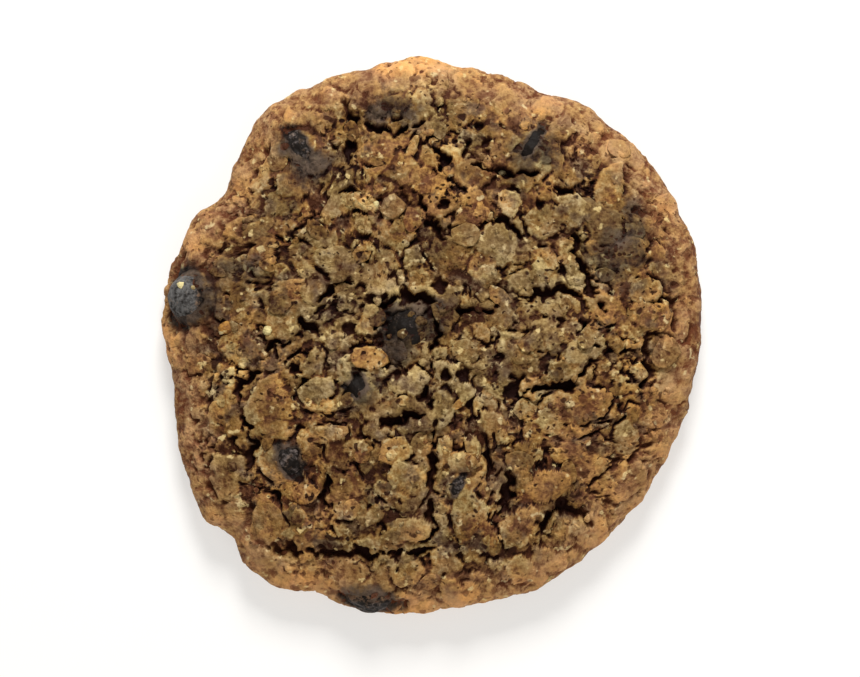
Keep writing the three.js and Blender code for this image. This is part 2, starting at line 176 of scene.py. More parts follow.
# Both ends of each crack, its bow and its width.
CRACKS: tuple[Crack, ...] = tuple(Crack(*row) for row in (
    ((-13.7, 37.4), (0.8, 36.8), -3.2, 0.8), ((-14.8, 39.6), (-13.7, 28.8), 0.4, 1.3),
    ((-15.3, 23.8), (-8.2, 21.6), 0.6, 0.9), ((-1.7, 22.3), (2.2, 15.8), -0.8, 1.1),
    ((8.0, 18.4), (15.3, 16.2), 1.2, 0.9), ((20.2, 24.8), (23.3, 23.3), 0.3, 1.0),
    ((23.8, 17.4), (28.8, 4.2), -1.1, 1.2), ((14.3, 5.6), (24.7, 6.8), 1.4, 1.3),
    ((9.7, 3.6), (12.4, 8.4), 0.3, 1.1), ((-9.6, 1.2), (1.3, 5.0), 3.6, 1.4),
    ((1.5, 3.2), (0.2, -6.3), -0.3, 0.9), ((1.7, 3.2), (10.0, 3.9), 0.4, 1.0),
    ((-1.3, -7.6), (0.0, -11.9), 0.0, 1.0), ((-8.7, -15.2), (-1.0, -13.2), 0.8, 1.4),
    ((0.0, -15.6), (0.6, -26.0), -0.4, 1.8), ((-0.3, -26.8), (0.3, -33.4), 0.3, 1.0),
    ((9.2, -16.9), (9.0, -23.6), 0.2, 1.1), ((12.7, -21.6), (11.2, -29.3), 0.5, 1.5),
    ((17.7, -34.4), (27.0, -31.6), 4.4, 1.4), ((23.3, -27.3), (38.3, -17.4), 1.2, 0.6),
    ((35.2, -0.9), (35.5, -8.9), 0.3, 0.9), ((14.7, -8.9), (26.8, -4.3), -1.4, 1.2),
    ((25.2, 1.9), (27.3, -1.9), 0.0, 1.0), ((32.5, 4.3), (40.4, 6.2), 0.3, 0.9),
    ((40.5, 6.9), (40.3, 0.8), 0.0, 0.8), ((-18.7, 5.6), (-13.2, 8.4), 0.6, 1.2),
    ((-22.0, 2.8), (-18.6, -0.2), 0.4, 1.1), ((-27.5, -2.6), (-24.3, -1.9), 1.2, 0.9),
    ((-28.0, -5.8), (-31.8, -12.3), -1.7, 0.75), ((-31.7, -12.3), (-30.8, -23.1), 1.3, 0.8),
    ((-27.3, -34.8), (-8.0, -36.1), -0.5, 1.8), ((-7.8, -36.1), (0.7, -34.8), 0.0, 0.8),
    ((-29.8, -24.8), (-24.7, -28.3), 0.7, 0.7), ((-17.3, -22.6), (-18.3, -28.1), 0.2, 1.0),
    ((0.2, 31.4), (1.8, 27.4), 0.5, 1.2), ((6.3, 32.5), (4.8, 29.8), 0.0, 0.9),
    ((6.6, 28.0), (17.6, 27.2), -0.7, 1.0),
))

# Round gaps between oats: place and radius.
PITS: tuple[tuple[float, float, float], ...] = (
    (2.2, 21.8, 0.9), (8.7, 31.8, 0.8), (18.0, 21.8, 0.8), (26.7, 20.3, 0.9), (5.2, -6.6, 1.3),
    (2.3, -6.3, 0.9), (13.5, -8.9, 1.4), (-22.8, -5.3, 1.3), (-13.8, 1.4, 1.1), (1.3, 8.4, 1.4),
    (21.8, -28.1, 1.3), (33.2, 4.1, 1.0), (-37.0, -25.1, 0.8), (-27.3, 30.9, 0.7), (-29.2, 27.4, 0.7),
    (-10.0, 5.8, 0.9), (-9.2, 2.8, 0.8), (-5.0, 5.5, 0.8), (-0.3, 4.1, 1.1), (-3.1, 1.1, 0.8),
    (-2.8, -0.6, 0.7), (-7.5, -4.4, 0.8), (-5.7, -6.1, 0.8), (7.8, 34.9, 0.7),
)

# Where melted chocolate has darkened the crumb over and beside the chips.
SMEARS: tuple[Patch, ...] = tuple(Patch(*row) for row in (
    (-6.0, 38.0, 12.0, 8.0, 0, 0.85), (-31.5, 11.0, 10.0, 6.5, -15, 0.85),
    (30.5, 14.6, 13.0, 15.0, 0, 0.95), (20.6, -3.0, 12.0, 9.0, 5, 0.3), (-0.4, 1.6, 7.0, 6.0, 0, 0.8),
    (-38.0, 6.4, 12.0, 12.0, 0, 0.7), (-21.8, 29.8, 14.0, 7.0, -62, 1.0),
    (-18.6, 28.6, 7.0, 6.0, -60, 0.75), (17.5, 30.6, 11.0, 9.5, 56, 0.95),
    (-5.4, 1.2, 10.0, 12.0, 10, 1.0), (-12.0, -8.4, 9.0, 8.0, 0, 1.0), (-24.0, -19.8, 8.5, 7.0, -40, 0.8),
    (-10.4, -43.0, 12.0, 6.0, -5, 0.9),
))

# Where melted chocolate covers the crumb.
MELTS: tuple[Patch, ...] = tuple(Patch(*row) for row in (
    (-22.4, 33.0, 7.5, 3.4, -47, 0.7), (-20.6, 29.0, 10.0, 7.0, -32, 0.85),
    (16.6, 32.2, 7.0, 3.0, 54, 0.9), (-5.8, 1.6, 6.4, 6.6, 0, 0.9), (-1.4, 4.7, 6.6, 3.6, 12, 1.0),
    (-6.6, -2.6, 4.0, 5.0, 0, 0.7), (0.8, 1.6, 3.4, 4.0, 0, 0.6), (-12.0, -8.3, 4.8, 5.0, 0, 0.85),
    (-23.2, -20.2, 5.0, 7.4, 10, 0.7), (-9.8, -43.4, 12.0, 4.6, -5, 0.85), (-9.2, 36.5, 5.0, 4.8, 0, 0.9),
    (-3.4, 36.8, 4.5, 3.0, 20, 0.55), (30.8, 15.6, 4.0, 3.8, 0, 0.75), (33.2, 21.0, 5.4, 3.0, 0, 0.7),
    (-29.6, 12.2, 6.0, 4.4, 0, 0.6), (-36.9, 6.0, 6.0, 10.0, 0, 0.62),
))

# Painted shade and painted light over broad zones and along the rim: where the crumb is darker than its
# mean, or paler where the strength is below 0.
PAINTED_LIGHT_AND_SHADE: tuple[Patch, ...] = tuple(Patch(*row) for row in (
    (3.0, 2.8, 12.0, 8.0, 10, 0.6), (-5.4, 1.4, 11.0, 9.0, 0, 0.55), (-14.2, -9.0, 7.0, 10.0, 0, -0.2),
    (43.0, -1.0, 32.0, 7.0, 90, 0.45), (36.0, 17.0, 18.0, 7.0, 115, 0.15),
    (-42.0, -10.0, 26.0, 6.0, 85, 0.28), (-1.5, 45.6, 19.0, 7.0, 0, -0.95),
    (-3.0, -45.0, 26.0, 6.0, 0, -0.75), (32.0, -6.0, 10.0, 8.0, 0, -0.25),
    (-32.5, -6.0, 8.0, 7.0, 0, -0.38), (-30.0, 24.0, 8.0, 7.0, 0, -0.33), (14.0, 11.6, 8.0, 7.0, 0, -0.2),
    (-34.8, 10.1, 8.0, 7.0, 0, 0.25), (-22.6, -40.4, 14.0, 6.0, -15, -0.65),
    (30.5, -30.5, 15.0, 5.0, 50, -0.35), (-28.8, -30.1, 8.0, 7.0, 0, -0.35),
    (25.0, 8.6, 7.0, 6.0, 0, -0.5), (20.4, -5.0, 9.0, 6.0, 0, -0.25), (-28.0, -20.0, 6.0, 6.0, 0, -0.25),
    (-15.5, -5.4, 6.0, 5.0, 0, -0.3), (18.4, 35.2, 7.0, 5.0, 0, -0.45), (-5.7, 33.6, 7.0, 5.0, 0, -0.3),
    (-5.2, 7.4, 7.0, 4.4, 0, -0.45), (11.3, 21.8, 7.0, 6.0, 0, -0.25), (33.6, -2.4, 7.0, 6.0, 0, -0.2),
    (7.7, -19.9, 6.0, 6.0, 0, -0.25), (-27.4, -24.6, 6.0, 5.0, 0, -0.2), (2.2, -27.0, 6.0, 6.0, 0, -0.25),
    (-6.2, -18.8, 6.0, 5.0, 30, -0.3), (6.6, -28.4, 7.0, 6.0, 0, -0.15), (4.2, -19.2, 9.0, 5.6, 0, -0.3),
    (-34.4, -7.0, 8.0, 10.0, 0, -0.3), (-16.2, -34.2, 8.0, 6.0, 0, -0.22),
    (29.3, -20.1, 8.0, 7.0, 0, -0.2), (25.7, 34.6, 8.0, 6.0, 0, -0.25), (3.0, 31.6, 7.0, 6.0, 0, -0.22),
    (-6.0, 6.6, 8.0, 5.0, 0, -0.3), (-21.8, -16.6, 7.0, 5.0, 0, -0.2), (-5.3, 20.4, 8.0, 7.0, 0, 0.3),
    (-25.0, -11.1, 7.0, 6.0, 0, 0.25), (-6.7, -24.8, 6.0, 6.0, 0, 0.2), (8.5, 16.1, 7.0, 6.0, 0, 0.15),
    (-22.3, -16.4, 6.0, 4.5, 0, -0.3), (29.5, -12.8, 7.0, 6.0, 0, -0.25),
    (-9.7, 26.4, 6.0, 5.0, 0, -0.25), (8.5, -36.0, 8.0, 5.0, 0, -0.25),
    (-34.5, -31.0, 10.0, 6.0, -50, -0.3), (-21.8, -10.2, 6.0, 6.0, 0, 0.22),
    (-12.4, -18.6, 7.0, 6.0, 0, 0.25), (-44.6, -2.0, 16.0, 6.0, 90, -0.7),
    (39.5, -21.0, 20.0, 7.0, 60, -0.5), (-33.0, 28.0, 20.0, 8.0, 57, 0.1), (19.0, 19.4, 9.0, 8.0, 0, 0.3),
    (-34.2, -23.4, 12.0, 9.0, 70, 0.3), (-13.7, -38.6, 14.0, 6.0, 0, 0.28),
    (-18.0, -35.6, 21.0, 4.5, -2, 0.25), (-11.8, 12.2, 9.0, 8.0, 0, 0.22),
    (18.2, -13.9, 9.0, 7.0, 0, 0.2), (-17.0, 39.6, 9.0, 6.0, 0, 0.2), (10.0, -15.5, 9.0, 7.0, 0, 0.2),
    (26.0, 19.0, 10.0, 8.0, 60, 0.15), (12.0, 26.6, 12.0, 4.0, -3, 0.22), (3.6, 30.8, 5.0, 5.0, 0, -0.4),
    (4.2, 25.0, 6.0, 5.0, 0, -0.25), (-5.8, 40.2, 7.0, 4.5, 0, -0.3), (25.5, 27.8, 8.0, 6.0, 60, 0.2),
    (-29.5, 17.0, 13.0, 9.0, 130, 0.4), (-20.5, 19.5, 16.0, 10.0, 100, 0.22),
    (-16.8, 29.0, 6.0, 8.0, 0, 0.4), (-31.5, 4.6, 8.0, 7.0, 0, 0.34), (-8.0, -12.4, 8.0, 6.0, 0, 0.2),
    (-5.3, -39.1, 10.0, 6.0, 0, 0.16), (-20.3, -31.6, 9.0, 7.0, 0, 0.16),
    (34.0, 21.1, 9.0, 7.0, 110, 0.15), (-9.0, -22.5, 9.0, 7.0, 60, 0.14),
    (14.6, -32.0, 8.0, 6.0, 0, 0.14), (14.2, -19.1, 8.0, 7.0, 0, 0.14),
    (-15.0, -22.0, 13.0, 9.0, 0, 0.22), (0.7, 13.4, 6.0, 7.0, 0, 0.2), (21.2, 3.2, 10.0, 6.0, 0, 0.4),
    (9.0, 4.0, 8.0, 5.0, 0, 0.2), (-21.0, -0.9, 8.0, 6.0, 0, 0.15), (-11.0, 37.0, 10.0, 6.0, 0, 0.15),
))


def smoothstep(value: Array, low: float, high: float) -> Array:
    """Eases from 0 at low to 1 at high.

    Args:
        value: what is compared with the two bounds.
        low: where the result leaves 0.
        high: where the result reaches 1.

    Returns:
        The eased share, of the value's shape.
    """
    share = np.clip((value - low) / (high - low), 0.0, 1.0)
    return share * share * (3.0 - 2.0 * share)


def unit(vectors: Array) -> Array:
    """Scales vectors to length 1."""
    return vectors / np.maximum(np.linalg.norm(vectors, axis=-1, keepdims=True), 1e-9)


def along_across(x: Array, y: Array, heading: float) -> tuple[Array, Array]:
    """Gives how far places lie along a heading in degrees, and how far to its left."""
    turn = math.radians(heading)
    return x * math.cos(turn) + y * math.sin(turn), y * math.cos(turn) - x * math.sin(turn)


@dataclass(frozen=True)
class Ramp:
    """A change that grows between two limits, less its mean."""

    amount: float
    low: float
    high: float
    mean: float = 0.0

    def of(self, values: Array) -> Array:
        """Gives the change at each value."""
        return self.amount * smoothstep(values, self.low, self.high) - self.mean


@dataclass(frozen=True)
class Grain:
    """Smooth repeatable noise in space."""

    size: float
    seed: int

    def corner(self, cell: Array, salt: int) -> Array:
        """Draws one number from -1 to 1 for each lattice cell."""
        # The large odd numbers only scramble the cell's place.
        mixed = cell[..., 0] * 73856093 ^ cell[..., 1] * 19349663 ^ cell[..., 2] * 83492791
        mixed = (mixed ^ (self.seed * 2654435761 + salt * 40503)) & 0xFFFFFFFF
        mixed = (mixed ^ (mixed >> 15)) * 2246822519 & 0xFFFFFFFF
        mixed = (mixed ^ (mixed >> 13)) * 3266489917 & 0xFFFFFFFF
        return ((mixed ^ (mixed >> 16)) & 0xFFFFFF) / float(0x7FFFFF) - 1.0

    def at(self, points: Array) -> Array:
        """Reads the noise.

        Args:
            points: places in millimetres, one row each.

        Returns:
            A value for each place, mostly between -1 and 1.
        """
        scaled = points / self.size
        low = np.floor(scaled).astype(np.int64)
        part = scaled - low
        ease = part**3 * (part * (part * 6.0 - 15.0) + 10.0)
        total = np.zeros(len(points))
        for corner in np.ndindex(2, 2, 2):
            cell = low + corner
            away = part - corner
            slope = sum(self.corner(cell, axis) * away[:, axis] for axis in range(3))
            weight = np.prod(np.where(np.array(corner) == 1, ease, 1.0 - ease), axis=1)
            total += weight * slope
        return 1.5 * total


@dataclass(frozen=True)
class Cells:
    """Uneven cells in space, packed as a crumb's grains are."""

    size: float
    seed: int
    jitter: float = 0.46

    def at(self, points: Array) -> tuple[Array, Array, Array]:
        """Finds the cells around places.

        Args:
            points: places in millimetres, one row each.

        Returns:
            A draw from -1 to 1 for each place's own cell, how far the second nearest cell's middle lies
            beyond the nearest, and how far the third does, both as shares of the cells' size.
        """
        dice = Grain(self.size, self.seed)
        scaled = points / self.size
        low = np.floor(scaled).astype(np.int64)
        away = np.empty((27, len(points)))
        draws = np.empty((27, len(points)))
        for i, step in enumerate(np.ndindex(3, 3, 3)):
            cell = low + step - 1
            shift = np.stack([dice.corner(cell, axis) for axis in range(3)], axis=1)
            away[i] = np.linalg.norm(scaled - (cell + 0.5 + self.jitter * shift), axis=1)
            draws[i] = dice.corner(cell, 3)
        own = away.argmin(axis=0)
        nearest = np.partition(away, 2, axis=0)[:3]
        draw = np.take_along_axis(draws, own[None], axis=0)[0]
        return draw, nearest[1] - nearest[0], nearest[2] - nearest[0]


class Outline:
    """The cookie's rim from above, as a radius for each heading."""

    def __init__(self, points: tuple[tuple[float, float], ...]) -> None:
        """Keeps the rim's points by heading, with two more beyond each end."""
        plan = np.array(points)
        heading = np.arctan2(plan[:, 1], plan[:, 0])
        order = np.argsort(heading)
        heading, radius = heading[order], np.hypot(plan[:, 0], plan[:, 1])[order]
        self.heading = np.concatenate((heading[-2:] - math.tau, heading, heading[:2] + math.tau))
        self.rim = np.concatenate((radius[-2:], radius, radius[:2]))
        self.slope = np.gradient(self.rim, self.heading)

    def radius(self, heading: Array) -> Array:
        """Reads the rim's radius.

        Args:
            heading: directions in radians, from -pi to pi.

        Returns:
            The rim's distance from the middle in each direction.
        """
        low = np.clip(np.searchsorted(self.heading, heading) - 1, 0, len(self.heading) - 2)
        span = self.heading[low + 1] - self.heading[low]
        t = (heading - self.heading[low]) / span
        ease = t * t * (3.0 - 2.0 * t)
        bend = t * (1.0 - t) ** 2 * self.slope[low] + t * t * (t - 1.0) * self.slope[low + 1]
        return self.rim[low] * (1.0 - ease) + self.rim[low + 1] * ease + span * bend


class SolidRelief:
    """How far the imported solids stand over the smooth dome, evened out over a few millimetres."""

    PITCH = 1.5
    REACH = 49.5
    PASSES = 3
    TOP_SHARE = 0.95

    def __init__(self, form: "DoughForm") -> None:
        """Measures the solids from above.

        Args:
            form: the smooth dome that the heights are compared with.
        """
        tree = self._tree()
        steps = np.arange(-self.REACH, self.REACH + self.PITCH / 2, self.PITCH)
        x, y = np.meshgrid(steps, steps, indexing="ij")
        share = form.share(x, y)
        height = np.zeros_like(x)
        weight = (share < self.TOP_SHARE).astype(float)
        for cell in np.argwhere(weight > 0):
            spot = tuple(cell)
            hit = tree.ray_cast(Vector((x[spot], y[spot], OVERHEAD)), DOWN)[0]
            height[spot] = hit.z - form.dome(share[spot])
        for _ in range(self.PASSES):
            height, weight = self._even_out(height * weight), self._even_out(weight)
            height = np.where(weight > TINY, height / np.maximum(weight, TINY), 0.0)
            weight = (weight > TINY).astype(float)
        self.height = height

    @staticmethod
    def _tree() -> BVHTree:
        """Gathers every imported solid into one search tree, in millimetres."""
        corners: list[Vector] = []
        faces: list[tuple[int, ...]] = []
        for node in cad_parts.values():
            start = len(corners)
            corners += [vertex.co / MM for vertex in node.data.vertices]
            faces += [tuple(start + i for i in face.vertices) for face in node.data.polygons]
        return BVHTree.FromPolygons(corners, faces)

    @staticmethod
    def _even_out(values: Array) -> Array:
        """Averages each cell with its neighbours."""
        padded = np.pad(values, 1, mode="edge")
        size = values.shape[0]
        return sum(padded[i:i + size, j:j + size] for i in range(3) for j in range(3)) / 9.0

    def at(self, x: Array, y: Array) -> Array:
        """Reads the relief.

        Args:
            x: places to the right.
            y: places upwards in the picture.

        Returns:
            The relief's height at each place.
        """
        last = self.height.shape[0] - 2
        across, along = (x + self.REACH) / self.PITCH, (y + self.REACH) / self.PITCH
        i, j = (np.clip(np.floor(v).astype(int), 0, last) for v in (across, along))
        u, v = across - i, along - j
        near = self.height[i, j] * (1 - v) + self.height[i, j + 1] * v
        far = self.height[i + 1, j] * (1 - v) + self.height[i + 1, j + 1] * v
        return near * (1 - u) + far * u


@dataclass
class DoughForm:
    """The crumb's smooth form: a dome with a round shoulder and a side that rolls in to the tray."""

    crown: float = 13.2
    rim_height: float = 4.6
    lip_inset: float = 3.2
    underside_below: float = 2.0
    squareness: float = 3.4
    roundness: float = 0.55
    rim_mean: float = 45.0
    pinch: float = 0.2
    top_steps: int = 400
    side_steps: int = 80
    rough_end: tuple[float, float] = (0.68, 0.9)
    relief_end: tuple[float, float] = (0.7, 0.8)
    outline: Outline = field(default_factory=lambda: Outline(RIM_POINTS))

    def __post_init__(self) -> None:
        """Works out the profile from the crown to the tray, spaced by its length."""
        share = np.linspace(0.0, 1.0, self.top_steps)
        roll = self.rim_height + self.underside_below
        turn = np.linspace(0.0, math.asin(self.rim_height / roll), self.side_steps)[1:]
        pinch = np.cos(turn) ** self.pinch
        self._scale = np.concatenate((share, pinch))
        self._inset = np.concatenate((np.zeros_like(share), self.lip_inset * (1.0 - np.cos(turn)) * pinch))
        side = self.rim_height - roll * np.sin(turn)
        self._height = np.concatenate((self.dome(share), side))
        across = self.rim_mean * self._scale - self._inset
        self._way = np.concatenate(((0.0,), np.cumsum(np.hypot(np.diff(across), np.diff(self._height)))))
        self.length = self._way[-1]
        self._way /= self.length
        slope = np.stack((-np.gradient(self._height), np.gradient(across)), axis=1)
        self._normal = unit(slope)
        self.relief = SolidRelief(self)

    def share(self, x: Array, y: Array) -> Array:
        """Gives how far places lie on the way from the middle, 0, to the rim, 1."""
        return np.hypot(x, y) / self.outline.radius(np.arctan2(y, x))

    def dome(self, share: Array) -> Array:
        """Gives the smooth dome's height at shares of the way to the rim."""
        fall = np.maximum(0.0, 1.0 - np.asarray(share) ** self.squareness) ** self.roundness
        return self.rim_height + (self.crown - self.rim_height) * fall

    def sunflower(self, k: int, count: int, reach: float, start: float) -> Array:
        """Spreads places evenly over the top, as seeds lie in a sunflower.

        Args:
            k: the place's number.
            count: how many places there are.
            reach: how much of the way to the rim they cover.
            start: the first place's heading in radians.

        Returns:
            The place from above.
        """
        bearing = k * GOLDEN_ANGLE + start
        turn = math.atan2(math.sin(bearing), math.cos(bearing))
        radius = reach * math.sqrt((k + 0.5) / count) * float(self.outline.radius(np.array([turn]))[0])
        return radius * np.array((math.cos(turn), math.sin(turn)))

    def skin(self, way: Array, heading: Array) -> tuple[Array, Array, Array]:
        """Lays out the form's surface.

        Args:
            way: places along the profile, from 0 at the crown to 1 at the tray.
            heading: directions from the middle, in radians from -pi to pi.

        Returns:
            The points, their normals, and how much of the top's roughness each one has.
        """
        scale, inset, height = (
            np.interp(way, self._way, values) for values in (self._scale, self._inset, self._height)
        )
        out, up = (np.interp(way, self._way, self._normal[:, i]) for i in range(2))
        radius = self.outline.radius(heading) * scale - inset
        x, y = radius * np.cos(heading), radius * np.sin(heading)
        on_top = 1.0 - smoothstep(way, *self.rough_end)
        relief = self.relief.at(x, y) * (1.0 - smoothstep(way, *self.relief_end))
        points = np.stack((x, y, height + relief), axis=1)
        normals = unit(np.stack((out * np.cos(heading), out * np.sin(heading), up), axis=1))
        return points, normals, on_top


class Shade:
    """A shader socket that stands in Python expressions."""

    def __init__(self, graph: "Graph", socket: bpy.types.NodeSocket) -> None:
        """Keeps the socket and the graph that it belongs to."""
        self.graph = graph
        self.socket = socket

    def _math(self, operation: str, first: object, second: object) -> "Shade":
        """Adds a Math node on two values."""
        return self.graph.node("ShaderNodeMath", {"operation": operation}, {0: first, 1: second})

    def __add__(self, other: object) -> "Shade":
        """Adds."""
        return self._math("ADD", self, other)

    def __radd__(self, other: object) -> "Shade":
        """Adds to a number."""
        return self._math("ADD", other, self)

    def __sub__(self, other: object) -> "Shade":
        """Subtracts."""
        return self._math("SUBTRACT", self, other)

    def __rsub__(self, other: object) -> "Shade":
        """Subtracts from a number."""
        return self._math("SUBTRACT", other, self)

    def __mul__(self, other: object) -> "Shade":
        """Multiplies."""
        return self._math("MULTIPLY", self, other)

    def swing(self, amount: object) -> "Shade":
        """Scales a noise's swing about its middle, 0.5."""
        return (self - 0.5) * amount

    def between(self, low: float, high: float, way: str = "SMOOTHSTEP") -> "Shade":
        """Rises from 0 at low to 1 at high, eased unless the way is LINEAR."""
        inputs = {"Value": self, "From Min": low, "From Max": high}
        return self.graph.node("ShaderNodeMapRange", {"interpolation_type": way}, inputs)


Colour = tuple[float, float, float]


def linear(red: int, green: int, blue: int) -> Colour:
    """Turns a colour as seen on screen into the light that it stands for.

    Args:
        red: red, 0 to 255.
        green: green, 0 to 255.
        blue: blue, 0 to 255.

    Returns:
        The three linear values, 0 to 1.
    """
    def channel(value: int) -> float:
        """Turns one channel."""
        share = value / 255.0
        return share / 12.92 if share <= 0.04045 else ((share + 0.055) / 1.055) ** 2.4

    return channel(red), channel(green), channel(blue)


class Graph:
    """A material's nodes, made one call at a time."""

    def __init__(self, name: str) -> None:
        """Starts a material with one principled shader.

        Args:
            name: the material's name.
        """
        self.material = bpy.data.materials.new(name)
        self.material.use_nodes = True
        self.tree = self.material.node_tree
        self.tree.nodes.clear()
        self.shader = self.tree.nodes.new("ShaderNodeBsdfPrincipled")
        output = self.tree.nodes.new("ShaderNodeOutputMaterial")
        self.tree.links.new(self.shader.outputs["BSDF"], output.inputs["Surface"])
        self.place = self.node("ShaderNodeTexCoord", {}, {}, "Object")

    def _feed(self, socket: bpy.types.NodeSocket, value: object) -> None:
        """Links or sets one input."""
        if isinstance(value, Shade):
            self.tree.links.new(value.socket, socket)
        elif isinstance(value, tuple) and len(value) == 3 and socket.type == "RGBA":
            socket.default_value = (*value, 1.0)
        else:
            socket.default_value = value

    def node(self, kind: str, settings: dict, inputs: dict, output: str | int = 0) -> Shade:
        """Adds one node.

        Args:
            kind: the node's type.
            settings: its options, set before its inputs.
            inputs: values or links by the input's name or number.
            output: the output to read.

        Returns:
            The chosen output.
        """
        made = self.tree.nodes.new(kind)
        for key, value in settings.items():
            setattr(made, key, value)
        for key, value in inputs.items():
            self._feed(made.inputs[key], value)
        return Shade(self, made.outputs[output])

    def attribute(self, name: str) -> Shade:
        """Reads a number that the mesh carries."""
        return self.node("ShaderNodeAttribute", {"attribute_name": name}, {}, "Fac")

    def noise(self, size: float, detail: float = 2.0, roughness: float = 0.5) -> Shade:
        """Adds noise whose features are about size millimetres wide."""
        scale = 1.0 / (size * MM)
        inputs = {"Vector": self.place, "Scale": scale, "Detail": detail, "Roughness": roughness}
        return self.node("ShaderNodeTexNoise", {}, inputs, "Fac")

    def mix(self, share: Shade | float, first: object, second: object, blend: str = "MIX") -> Shade:
        """Mixes two colours.

        Args:
            share: how much of the second.
            first: a colour or a link.
            second: a colour or a link.
            blend: the way of mixing.

        Returns:
            The mixed colour.
        """
        settings = {"data_type": "RGBA", "blend_type": blend}
        return self.node("ShaderNodeMix", settings, {0: share, 6: first, 7: second}, 2)

    def bump(self, height: Shade, depth: float, strength: float) -> Shade:
        """Turns a height into a normal; depth is in millimetres."""
        inputs = {"Height": height, "Distance": depth * MM, "Strength": strength}
        return self.node("ShaderNodeBump", {}, inputs)

    def finish(self, constants: dict[str, object], **varying: Shade) -> bpy.types.Material:
        """Feeds the shader.

        Args:
            constants: the shader's inputs that are the same all over.
            varying: its inputs that change over the surface, with _ for each space.

        Returns:
            The finished material.
        """
        for name, value in constants.items():
            self._feed(self.shader.inputs[name], value)
        for name, value in varying.items():
            self._feed(self.shader.inputs[name.replace("_", " ")], value)
        return self.material


